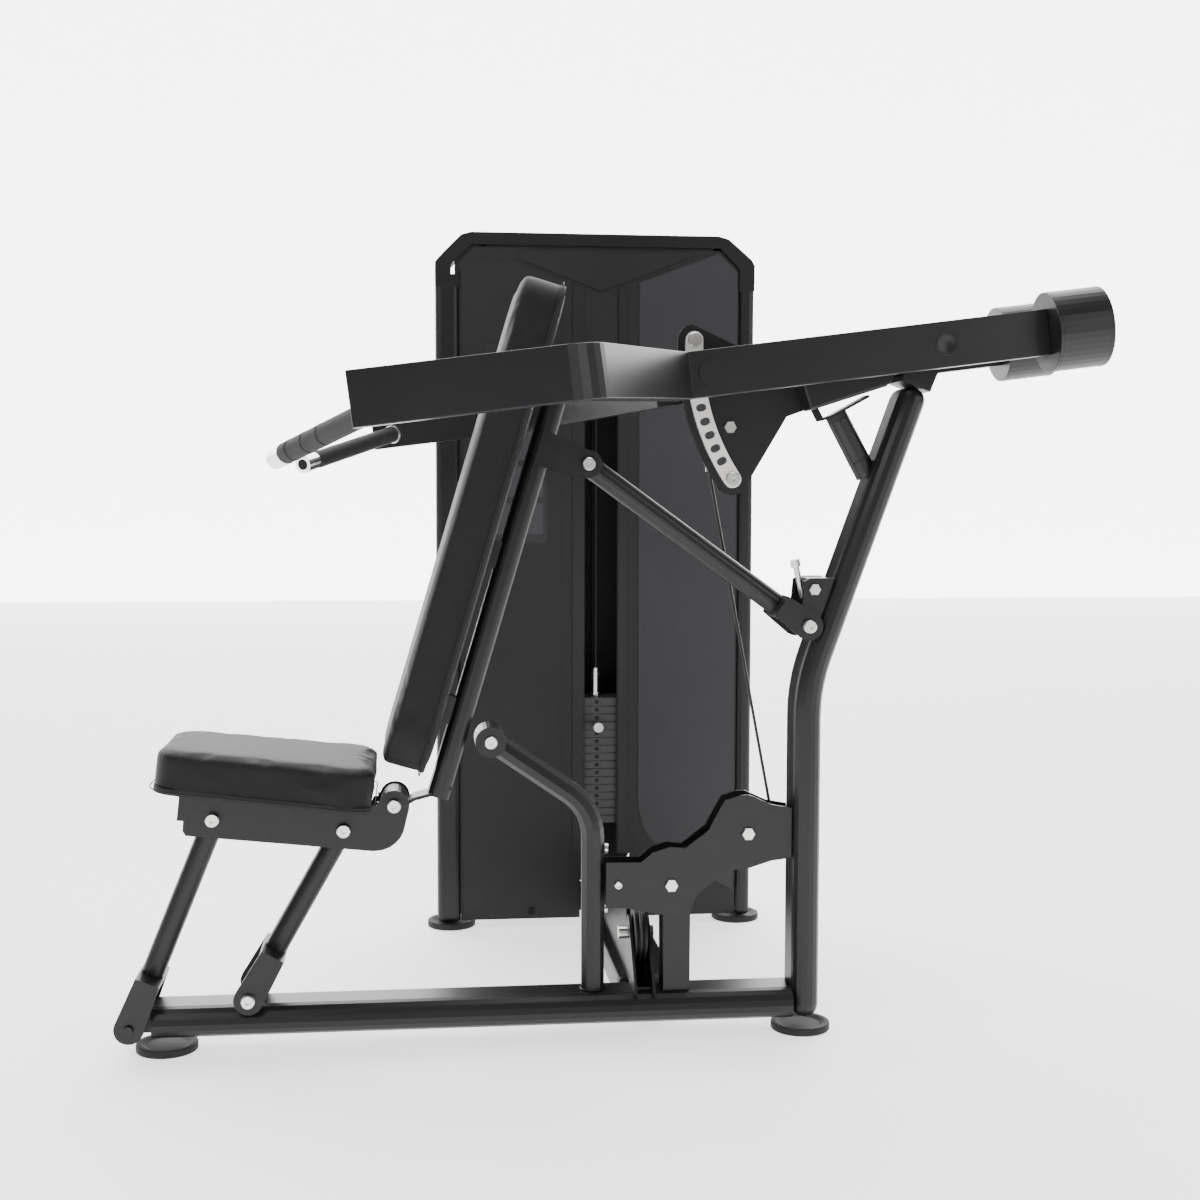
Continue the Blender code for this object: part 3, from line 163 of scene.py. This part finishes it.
FINISH = {
    "black_paint": material("powder_coat", (0.005, 0.005, 0.006), (0.009, 0.009, 0.010), 0.36, 0.0,
                            900.0, 0.25, 0.0002, coat=0.05),
    "zinc": material("zinc_plate", (0.62, 0.61, 0.59), (0.80, 0.79, 0.76), 0.28, 1.0, 500.0, 0.10, 0.0002),
    "chrome": material("chrome_plate", (0.78, 0.78, 0.79), (0.88, 0.88, 0.88), 0.10, 1.0, 300.0, 0.03,
                       0.0001),
    "vinyl": material("vinyl", (0.008, 0.008, 0.009), (0.013, 0.013, 0.013), 0.56, 0.0, 420.0, 0.55,
                      0.0004, "voronoi", sheen=0.14),
    "rubber": material("rubber", (0.010, 0.010, 0.010), (0.018, 0.018, 0.018), 0.66, 0.0, 600.0, 0.35,
                       0.0004),
    "cover": material("cover_sheet", (0.008, 0.008, 0.009), (0.012, 0.012, 0.013), 0.50, 0.0, 1100.0, 0.20,
                      0.0002, patches=1.5),
    "nylon": material("nylon", (0.012, 0.012, 0.012), (0.020, 0.020, 0.020), 0.48, 0.0, 300.0, 0.2, 0.0003),
    "iron": material("cast_iron", (0.026, 0.026, 0.028), (0.042, 0.042, 0.044), 0.50, 0.2, 260.0, 0.4,
                     0.0005),
    "cable": material("cable_jacket", (0.010, 0.010, 0.010), (0.018, 0.018, 0.018), 0.35, 0.0, 260.0, 0.3,
                      0.0003, "wave"),
}
SATIN = material("satin_strip", (0.70, 0.68, 0.65), (0.80, 0.78, 0.75), 0.38, 0.6, 420.0, 0.12, 0.0002,
                 stretch=(1, 1, 6))
# a lighter copy of the cover sheet for the right panel: painted light, standing in for the reflected light
# that panel catches
COVER_PAINTED_LIGHT = material("cover_panel", (0.022, 0.022, 0.024), (0.029, 0.029, 0.032), 0.48, 0.0, 1100.0, 0.18,
                     0.0002, patches=1.5)
COVER_EDGE = material("cover_edge", (0.009, 0.009, 0.010), (0.014, 0.014, 0.015), 0.40, 0.0, 900.0, 0.2,
                      0.0002)
CHART = material("chart_sheet", (0.016, 0.016, 0.018), (0.022, 0.022, 0.024), 0.35, 0.0, 700.0, 0.1, 0.0001)
FIELD = material("chart_field", (0.030, 0.030, 0.033), (0.040, 0.040, 0.043), 0.40, 0.0, 700.0, 0.1, 0.0001)
# near-black painted shade, put where a hole or recess shows only shade: the weights' pin holes, the cover's
# notch and the grips' open ends
PAINTED_HOLE_SHADE = material("painted_hole_shade", (0.004, 0.004, 0.004), (0.007, 0.007, 0.007), 0.80, 0.0, 200.0, 0.2, 0.0003)

SLOT_OF = {part["node"]: part["material_slot"] for part in RECORD["subparts"]}


def paint(obj, finish):
    obj.data.materials.clear()
    obj.data.materials.append(finish)


for node_name, node in NODES.items():
    paint(node, FINISH[SLOT_OF[node_name]])
    node.data.shade_smooth()
    crease = 48 if "arm_" in node_name else 32
    node.data.set_sharp_from_angle(angle=math.radians(crease))
NODES["selector_arc"].data.materials[0] = SATIN


# ---------------------------------------------------------------- small solids
def add(mesh, name, finish, body, smooth=35):
    obj = bpy.data.objects.new(name, mesh)
    bpy.context.scene.collection.objects.link(obj)
    mesh.shade_smooth()
    mesh.set_sharp_from_angle(angle=math.radians(smooth))
    paint(obj, finish)
    if body:
        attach(obj, body)
    return obj


def aim(direction):
    return Vector(direction).to_track_quat("Z", "Y").to_matrix().to_4x4()


def disc(name, centre, direction, radius, height, finish, body, sides=32, edge=0.0008, bore=0.0):
    """A turned disc from centre outwards along direction, with a small chamfer and an optional socket."""
    rings = [(radius, 0.0), (radius, height - edge), (radius - edge, height)]
    if bore:
        rings += [(bore, height), (bore * 0.92, height * 0.45), (0.0, height * 0.45)]
    else:
        rings += [(0.0, height)]
    shape = bmesh.new()
    loops = []
    for r, h in rings:
        if r == 0.0:
            loops.append([shape.verts.new((0, 0, h))])
            continue
        loops.append([shape.verts.new((r * math.cos(2 * math.pi * i / sides),
                                       r * math.sin(2 * math.pi * i / sides), h)) for i in range(sides)])
    for low, high in zip(loops, loops[1:]):
        for i in range(sides):
            j = (i + 1) % sides
            if len(high) == 1:
                shape.faces.new((low[i], low[j], high[0]))
            else:
                shape.faces.new((low[i], low[j], high[j], high[i]))
    shape.faces.new(loops[0][::-1])
    mesh = bpy.data.meshes.new(name)
    shape.to_mesh(mesh)
    shape.free()
    mesh.transform(Matrix.Translation(centre) @ aim(direction))
    return add(mesh, name, finish, body)


def bolt_head(name, centre, direction, body, radius=0.0115, sides=32, washer=0.0):
    centre, direction = Vector(centre), Vector(direction).normalized()
    if washer:
        disc(name + "_washer", centre, direction, washer, 0.0016, FINISH["zinc"], body, 40)
        centre = centre + direction * 0.0017
    return disc(name, centre, direction, radius, 0.0062, FINISH["zinc"], body, sides, 0.0012,
                0.0042 if sides > 6 else 0.0)


def prism(name, outline, y_low, y_high, finish, body, edge=0.0015):
    """A plate parallel to the front covers, from an outline in X and Z, with bevelled edges."""
    shape = bmesh.new()
    front = shape.faces.new([shape.verts.new((x, y_low, z)) for x, z in outline])
    made = bmesh.ops.extrude_face_region(shape, geom=[front])
    moved = [v for v in made["geom"] if isinstance(v, bmesh.types.BMVert)]
    bmesh.ops.translate(shape, verts=moved, vec=(0, y_high - y_low, 0))
    bmesh.ops.recalc_face_normals(shape, faces=shape.faces)
    if edge:
        low = [e for e in shape.edges if all(abs(v.co.y - y_low) < 1e-6 for v in e.verts)]
        bmesh.ops.bevel(shape, geom=low, offset=edge, segments=2, affect="EDGES")
    mesh = bpy.data.meshes.new(name)
    shape.to_mesh(mesh)
    shape.free()
    return add(mesh, name, finish, body, 25)


def rounded_box(left, low, right, high, radius):
    """Points round an upright rectangle with round corners, in X and Z."""
    middles = [(right - radius, low + radius, -90), (right - radius, high - radius, 0),
               (left + radius, high - radius, 90), (left + radius, low + radius, 180)]
    return [(x + radius * math.cos(math.radians(start + 22.5 * k)),
             z + radius * math.sin(math.radians(start + 22.5 * k)))
            for x, z, start in middles for k in range(5)]


def wire(name, points, radius, finish, body, closed=False):
    curve = bpy.data.curves.new(name, "CURVE")
    curve.dimensions = "3D"
    curve.bevel_depth = radius
    curve.bevel_resolution = 3
    curve.use_fill_caps = True
    line = curve.splines.new("POLY")
    line.points.add(len(points) - 1)
    for point, place in zip(line.points, points):
        point.co = (*place, 1.0)
    line.use_cyclic_u = closed
    holder = bpy.data.objects.new(name, curve)
    bpy.context.scene.collection.objects.link(holder)
    bpy.context.view_layer.update()
    graph = bpy.context.evaluated_depsgraph_get()
    mesh = bpy.data.meshes.new_from_object(holder.evaluated_get(graph))
    bpy.data.objects.remove(holder)
    return add(mesh, name, finish, body, 60)


# ---------------------------------------------------------------- pads
def puffed(node_name, name, body, frame_matrix):
    """The pad's cover, from its CAD solid: remeshed, smoothed and blown up as cloth."""
    mesh = NODES[node_name].data.copy()
    mesh.transform(frame_matrix.inverted())
    centre = sum((v.co for v in mesh.vertices), Vector()) / len(mesh.vertices)
    size = Vector([max(v.co[i] for v in mesh.vertices) - min(v.co[i] for v in mesh.vertices)
                   for i in range(3)])
    spare = 0.002
    shrink = Vector([(s - spare) / s for s in size])
    mesh.transform(Matrix.Translation(centre) @ Matrix.Diagonal((*shrink, 1)) @ Matrix.Translation(-centre))
    obj = bpy.data.objects.new(name, mesh)
    bpy.context.scene.collection.objects.link(obj)
    bpy.context.view_layer.objects.active = obj
    remesh = obj.modifiers.new("remesh", "REMESH")
    remesh.mode = "VOXEL"
    remesh.voxel_size = 0.0055
    smooth = obj.modifiers.new("smooth", "SMOOTH")
    smooth.iterations = 4
    with bpy.context.temp_override(object=obj, active_object=obj, selected_objects=[obj]):
        bpy.ops.object.modifier_apply(modifier="remesh")
        bpy.ops.object.modifier_apply(modifier="smooth")
    cloth = obj.modifiers.new("cloth", "CLOTH")
    cloth.settings.use_pressure = True
    cloth.settings.uniform_pressure_force = 4.0
    cloth.settings.effector_weights.gravity = 0.0
    cloth.settings.tension_stiffness = 40.0
    cloth.settings.compression_stiffness = 40.0
    cloth.settings.bending_stiffness = 1.0
    cloth.settings.quality = 5
    cloth.point_cache.frame_start = 1
    cloth.point_cache.frame_end = PUFF_FRAMES
    rest = [v.co.copy() for v in obj.data.vertices]
    for step in range(1, PUFF_FRAMES + 1):
        bpy.context.scene.frame_set(step)
    graph = bpy.context.evaluated_depsgraph_get()
    blown = bpy.data.meshes.new_from_object(obj.evaluated_get(graph))
    bpy.context.scene.frame_set(1)
    obj.modifiers.clear()
    for vertex, start in zip(blown.vertices, rest):
        travel = vertex.co - start
        if travel.length > PUFF_LIMIT:
            vertex.co = start + travel.normalized() * PUFF_LIMIT
    obj.data = blown
    obj.data.transform(frame_matrix)
    finer = obj.modifiers.new("finer", "SUBSURF")
    finer.levels = 1
    finer.render_levels = 1
    obj.data.shade_smooth()
    paint(obj, FINISH["vinyl"])
    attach(obj, body)
    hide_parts(node_name)
    return obj


def rounded_rectangle(corners, steps=7):
    """Points round a closed outline whose corners are (x, y, radius)."""
    points = []
    for i, (x, y, r) in enumerate(corners):
        here = Vector((x, y))
        before = (Vector(corners[i - 1][:2]) - here).normalized()
        after = (Vector(corners[(i + 1) % len(corners)][:2]) - here).normalized()
        half = before.angle(after) / 2
        first, last = here + before * r / math.tan(half), here + after * r / math.tan(half)
        for k in range(steps + 1):
            t = k / steps
            points.append(first * (1 - t) ** 2 + here * 2 * t * (1 - t) + last * t * t)
    return points


def seam(name, corners, height, matrix, body):
    """A welt sewn round a pad, pulled a little into the cover."""
    points = [matrix @ Vector((p.x, p.y, height)) for p in rounded_rectangle(corners)]
    return wire(name, points, 0.0011, FINISH["vinyl"], body, closed=True)


SEAT_TURN = Matrix.Translation((-0.001, 0, 0.5555)) @ Matrix.Rotation(math.radians(6.4), 4, "Y")
BACK_TURN = Matrix.Translation((0.4042, 0, 0.4401)) @ Matrix.Rotation(-math.radians(73.5), 4, "Y")
puffed("seat_pad", "seat_cushion", "seat", SEAT_TURN)
puffed("back_pad", "back_cushion", "backrest", BACK_TURN)
seat_outline = [(0, -0.145, 0.06), (0.382, -0.165, 0.042), (0.382, 0.165, 0.042), (0, 0.145, 0.06)]
back_outline = [(0.071, -0.15, 0.06), (0.957, -0.15, 0.06), (0.957, 0.15, 0.06), (0.071, 0.15, 0.06)]
seam("seat_welt", seat_outline, -0.0640, SEAT_TURN, "seat")
seam("back_welt", back_outline, -0.0240, BACK_TURN, "backrest")


def backing(name, corners, low, high, matrix, body):
    """The board under a pad's foam, wrapped and stapled behind the cover."""
    outline = rounded_rectangle(corners)
    shape = bmesh.new()
    face = shape.faces.new([shape.verts.new((p.x, p.y, low)) for p in outline])
    made = bmesh.ops.extrude_face_region(shape, geom=[face])
    moved = [v for v in made["geom"] if isinstance(v, bmesh.types.BMVert)]
    bmesh.ops.translate(shape, verts=moved, vec=(0, 0, high - low))
    bmesh.ops.recalc_face_normals(shape, faces=shape.faces)
    mesh = bpy.data.meshes.new(name)
    shape.to_mesh(mesh)
    shape.free()
    mesh.transform(matrix)
    return add(mesh, name, FINISH["rubber"], body)


def inset(corners, by):
    middle_x = sum(c[0] for c in corners) / 4
    return [(x + (by if x < middle_x else -by), y + (by if y < 0 else -by), max(r - by, 0.01))
            for x, y, r in corners]


backing("seat_board", inset(seat_outline, 0.006), -0.0698, -0.0600, SEAT_TURN, "seat")
backing("back_board", inset(back_outline, 0.006), -0.0298, -0.0210, BACK_TURN, "backrest")


# ---------------------------------------------------------------- fasteners
def mirrored(place, side):
    """The far side's place, or its mirror image when side is -1."""
    return Vector((place[0], side * place[1], place[2]))


def both_sides(name, place, y, body, radius=0.0115, sides=32, washer=0.0):
    for side, word in ((-1, "near"), (1, "far")):
        bolt_head(f"{name}_{word}", (place[0], side * y, place[1]), (0, side, 0), body, radius, sides, washer)


both_sides("back_stop_bolt", (0.575, 0.548), 0.0402, "frame", 0.0115)
both_sides("seat_rear_bolt", (0.316, 0.398), 0.0562, "seat", 0.0118)
both_sides("strut_top_bolt", (0.7487, 1.0415), 0.0417, "backrest", 0.0115)
both_sides("seat_front_head", (0.0906, 0.4215), 0.0557, "seat", 0.0118)
both_sides("seat_back_head", (0.4042, 0.4401), 0.0557, "seat", 0.0118)
both_sides("rear_leg_head", (0.149, 0.1024), 0.0692, "frame", 0.0115)
both_sides("strut_foot_head", (1.1455, 0.7524), 0.0612, "frame", 0.0115)
both_sides("pulley_a_head", (1.043, 0.372), 0.0266, "frame", 0.0125, 6)
both_sides("pulley_b_head", (0.902, 0.280), 0.0266, "frame", 0.0125, 6)
both_sides("pulley_spacer_head", (0.805, 0.283), 0.0266, "frame", 0.0070)
both_sides("lock_plate_head", (1.1560, 0.8180), 0.0492, "frame", 0.0110, 6)
for index, (low_x, low_z) in enumerate(((0.9468, 1.2667), (1.0188, 1.0156))):
    bolt_head(f"arc_end_bolt_{index}", (low_x, 0.0213, low_z), (0, -1, 0), "lever", 0.0130)
bolt_head("lever_hex_bolt", (1.0150, 0.0301, 1.1100), (0, -1, 0), "lever", 0.0115, 6)
bolt_head("cable_eye_bolt", (0.978, 0.0582, 1.047), (0, 1, 0), "lever", 0.0090, 6)
bolt_head("post_dome_bolt", (0.7826, 0.0, 0.345), (1, 0, 0), "frame", 0.0100)
bolt_head("post_low_bolt", (0.7826, 0.0, 0.234), (1, 0, 0), "frame", 0.0080)
for side, word in ((-1, "near"), (1, "far")):
    disc(f"arm_pivot_ring_{word}", PIVOT + Vector((0, side * 0.1402, 0)), (0, side, 0), 0.0200, 0.0010,
         FINISH["black_paint"], "press_arms", 40, 0.0005, 0.0122)
    root = mirrored(GRIP_ROOT, side)
    lean = mirrored(GRIP_RUN, side).normalized()
    disc(f"grip_collar_{word}", root + lean * 0.004, lean, 0.0195, 0.0060, FINISH["zinc"],
         "press_arms", 40)
    tip = Vector((0.2268, side * 0.310, 1.0435))
    # a disc of painted shade in the grip's open end
    disc(f"grip_bore_shade_{word}", tip, lean, 0.0105, 0.0012, PAINTED_HOLE_SHADE, "press_arms", 32, 0.0003)


def ring(name, centre, direction, radius, thick, finish, body):
    turn = aim(direction)
    points = [Vector(centre) + turn.to_3x3() @ Vector((radius * math.cos(a), radius * math.sin(a), 0))
              for a in [2 * math.pi * i / 48 for i in range(48)]]
    return wire(name, points, thick, finish, body, closed=True)


# weld beads where the tubes meet
ring("weld_bumper", (1.2480, 0, 1.0510), (-0.476, 0, 0.879), 0.0203, 0.0012, FINISH["black_paint"],
     "frame")
ring("weld_post_foot", (0.761, 0, 0.0885), (0, 0, 1), 0.0222, 0.0014, FINISH["black_paint"],
     "frame")
uphill = Vector((math.cos(ARM_SLOPE), 0, math.sin(ARM_SLOPE)))
for side, word in ((-1, "near"), (1, "far")):
    for index, reach in enumerate((0.1930, 0.2780)):
        centre = PIVOT + Vector((0, side * 0.1225, 0)) + uphill * reach
        ring(f"weight_line_{word}_{index}", centre, uphill, 0.0696, 0.0008,
             FINISH["black_paint"], "press_arms")
    for index, reach in enumerate((0.19, 0.24, 0.29)):
        away = mirrored(GRIP_RUN, side).normalized()
        start = mirrored(GRIP_ROOT, side)
        ring(f"grip_rib_{word}_{index}", start + away * (reach - 0.02), away, 0.0169, 0.0005,
             FINISH["rubber"], "press_arms")


# ---------------------------------------------------------------- tower covers
def moulding():
    y = COVER_FACE
    # the right panel wears the lighter copy of the cover sheet, which is painted light
    prism("cover_panel_right", [(0.9440, 0.2750), (0.9560, 0.2250), (0.9740, 0.1980), (1.0200, 0.1550),
                                (1.1680, 0.0740), (1.1690, 1.4860), (1.1240, 1.5280), (0.9440, 1.4600)],
          y - 0.0030, y + 0.0005, COVER_PAINTED_LIGHT, "frame", 0.0020)
    prism("cover_strip_right", [(0.8975, 0.1680), (0.9190, 0.1680), (0.9190, 1.4500), (0.8975, 1.4420)],
          y - 0.0030, y + 0.0005, COVER_EDGE, "frame", 0.0015)
    prism("cover_strip_left", [(0.7940, 0.1700), (0.8215, 0.1700), (0.8215, 1.4450), (0.7940, 1.4550)],
          y - 0.0030, y + 0.0005, COVER_EDGE, "frame", 0.0015)
    prism("cover_panel_left", [(0.5460, 0.0240), (0.6090, 0.0610), (0.7600, 0.1650), (0.7710, 0.2200),
                               (0.7720, 1.4640), (0.6590, 1.5060), (0.5730, 1.5060), (0.5460, 1.4800)],
          y - 0.0025, y + 0.0005, FINISH["cover"], "frame", 0.0020)
    prism("cover_crown", [(0.6700, 1.5080), (0.7900, 1.4640), (0.8580, 1.4380), (0.9400, 1.4680),
                          (1.0740, 1.5220), (1.0700, 1.5300), (0.6900, 1.5300)],
          y - 0.0035, y + 0.0005, COVER_EDGE, "frame", 0.0020)
    # the notch in the cover is a thin sheet of painted shade
    prism("cover_notch", [(0.6950, 0.0300), (0.7090, 0.0300), (0.7090, 0.0440), (0.6950, 0.0440)],
          y - 0.0034, y - 0.0020, PAINTED_HOLE_SHADE, "frame", 0.0)
    prism("exercise_chart", rounded_box(0.5990, 0.8760, 0.7380, 1.3200, 0.008), y - 0.0034, y - 0.0020, CHART,
          "frame", 0.0005)
    for index in range(5):
        low = 0.8960 + index * 0.0830
        prism(f"chart_field_{index}", rounded_box(0.6080, low, 0.7290, low + 0.0700, 0.005), y - 0.0039,
              y - 0.0030, FIELD, "frame", 0.0002)
    for name, outline in (
        ("cover_lip_left", [(0.5360, 0.0320), (0.5600, 0.0320), (0.5600, 1.4900), (0.5360, 1.4700)]),
        ("cover_lip_right", [(1.1520, 0.0320), (1.1770, 0.0320), (1.1770, 1.4700), (1.1520, 1.4900)]),
        ("cover_lip_top_left", [(0.5320, 1.4660), (0.5600, 1.4660), (0.6000, 1.5100), (0.6000, 1.5450),
                                (0.5680, 1.5450), (0.5320, 1.5060)]),
        ("cover_lip_top_right", [(1.1150, 1.5450), (1.1150, 1.5100), (1.1520, 1.4660), (1.1800, 1.4660),
                                 (1.1800, 1.4960), (1.1360, 1.5450)]),
        ("cover_lip_top", [(0.5900, 1.5180), (1.1300, 1.5180), (1.1300, 1.5450), (0.5900, 1.5450)]),
    ):
        prism(name, outline, 0.7615, 0.7650, COVER_EDGE, "frame", 0.0)
    for word, left, right in (("left", 0.4893, 0.5417), ("right", 1.1723, 1.2067)):
        prism("post_joint_" + word, [(left, 1.4440), (right, 1.4440), (right, 1.4720), (left, 1.4720)],
              0.7533, 0.8327, FINISH["black_paint"], "frame", 0.0)
    prism("slot_hood", [(0.8230, 1.2440), (0.8960, 1.2440), (0.8960, 1.2560), (0.8230, 1.2560)],
          y - 0.0030, y + 0.0060, COVER_EDGE, "frame", 0.0015)


moulding()


def stack_marks():
    """Pin holes, drawn as discs of painted shade, and number plates on the weights' front edge."""
    front = PLATE_FRONT
    for index in range(PLATES):
        z = PLATE_FOOT + index * PLATE_PITCH
        body = "frame" if index < RESTING else "stack"
        if index != RESTING:
            # each pin hole is a disc of painted shade
            disc(f"weight_hole_{index:02d}", (0.852, front + 0.0004, z + 0.0088), (0, -1, 0), 0.0046,
                 0.0007, PAINTED_HOLE_SHADE, body, 20, 0.0002)
        prism(f"weight_edge_{index:02d}", [(0.7085, z + 0.0022), (0.8420, z + 0.0022), (0.8420, z + 0.0150),
                                           (0.7085, z + 0.0150)],
              front - 0.0007, front + 0.0004, FINISH["iron"], body, 0.0004)
        prism(f"weight_edge_b_{index:02d}", [(0.8620, z + 0.0022), (0.9955, z + 0.0022),
                                             (0.9955, z + 0.0150), (0.8620, z + 0.0150)],
              front - 0.0007, front + 0.0004, FINISH["iron"], body, 0.0004)


stack_marks()


# ---------------------------------------------------------------- cables
def cables():
    leave = Vector((1.0962, 0.0, 0.3770))
    top = Vector((0.978, 0.049, 1.0420))
    points = [leave.lerp(top, i / 40) for i in range(41)]
    lever_cable = wire("lever_cable", points, CABLE_RADIUS, FINISH["cable"], None)
    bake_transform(lever_cable)
    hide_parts("cable_lever")
    high, low = 1.4290, 0.5885
    points = [Vector((0.852, 0.7966, low + (high - low) * i / 30)) for i in range(31)]
    stack_cable = wire("stack_cable", points, CABLE_RADIUS, FINISH["cable"], "frame")
    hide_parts("cable_stack")
    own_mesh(stack_cable)
    disc("cable_ferrule", (0.978, 0.049, 1.0300), (0, 0, 1), 0.0050, 0.0120, FINISH["zinc"],
         "lever", 24)


cables()


# ---------------------------------------------------------------- studio
def glowing(name, glow):
    """A pale stage surface that sends out a little light of its own, as a lit paper sweep does."""
    made = material(name, (0.88, 0.88, 0.88), (0.92, 0.92, 0.92), 0.80, 0.0, 40.0, 0.02, 0.0005)
    shader = made.node_tree.nodes["Principled BSDF"]
    shader.inputs["Emission Color"].default_value = (1.0, 1.0, 1.0, 1.0)
    shader.inputs["Emission Strength"].default_value = glow
    return made


def studio():
    bpy.ops.mesh.primitive_plane_add(size=40.0, location=(0.6, 6.0, -0.0002))
    floor = bpy.context.active_object
    floor.name = "floor"
    floor.data.materials.append(glowing("studio_floor", 1.3))
    bpy.ops.mesh.primitive_plane_add(size=40.0, location=(0.6, 12.0, 10.0), rotation=(math.radians(90), 0, 0))
    sweep = bpy.context.active_object
    sweep.name = "paper_sweep"
    sweep.data.materials.append(glowing("studio_paper", 5.0))
    world = bpy.data.worlds.new("studio")
    world.use_nodes = True
    world.node_tree.nodes["Background"].inputs["Color"].default_value = (1.0, 1.0, 1.0, 1.0)
    world.node_tree.nodes["Background"].inputs["Strength"].default_value = 0.22
    bpy.context.scene.world = world
    for name, place, target, size, power in (
        ("key", (-1.6, -3.2, 3.4), (0.6, 0.2, 0.7), 2.2, 75.0),
        ("fill", (3.4, -2.4, 2.2), (0.8, 0.2, 0.8), 2.0, 40.0),
        ("top", (0.7, 0.2, 4.2), (0.7, 0.2, 0.0), 3.0, 110.0),
    ):
        data = bpy.data.lights.new(name, "AREA")
        data.shape = "SQUARE"
        data.size = size
        data.energy = power
        lamp = bpy.data.objects.new(name, data)
        bpy.context.scene.collection.objects.link(lamp)
        lamp.matrix_world = (Matrix.Translation(place)
                             @ (Vector(place) - Vector(target)).to_track_quat("Z", "Y").to_matrix().to_4x4())

studio()
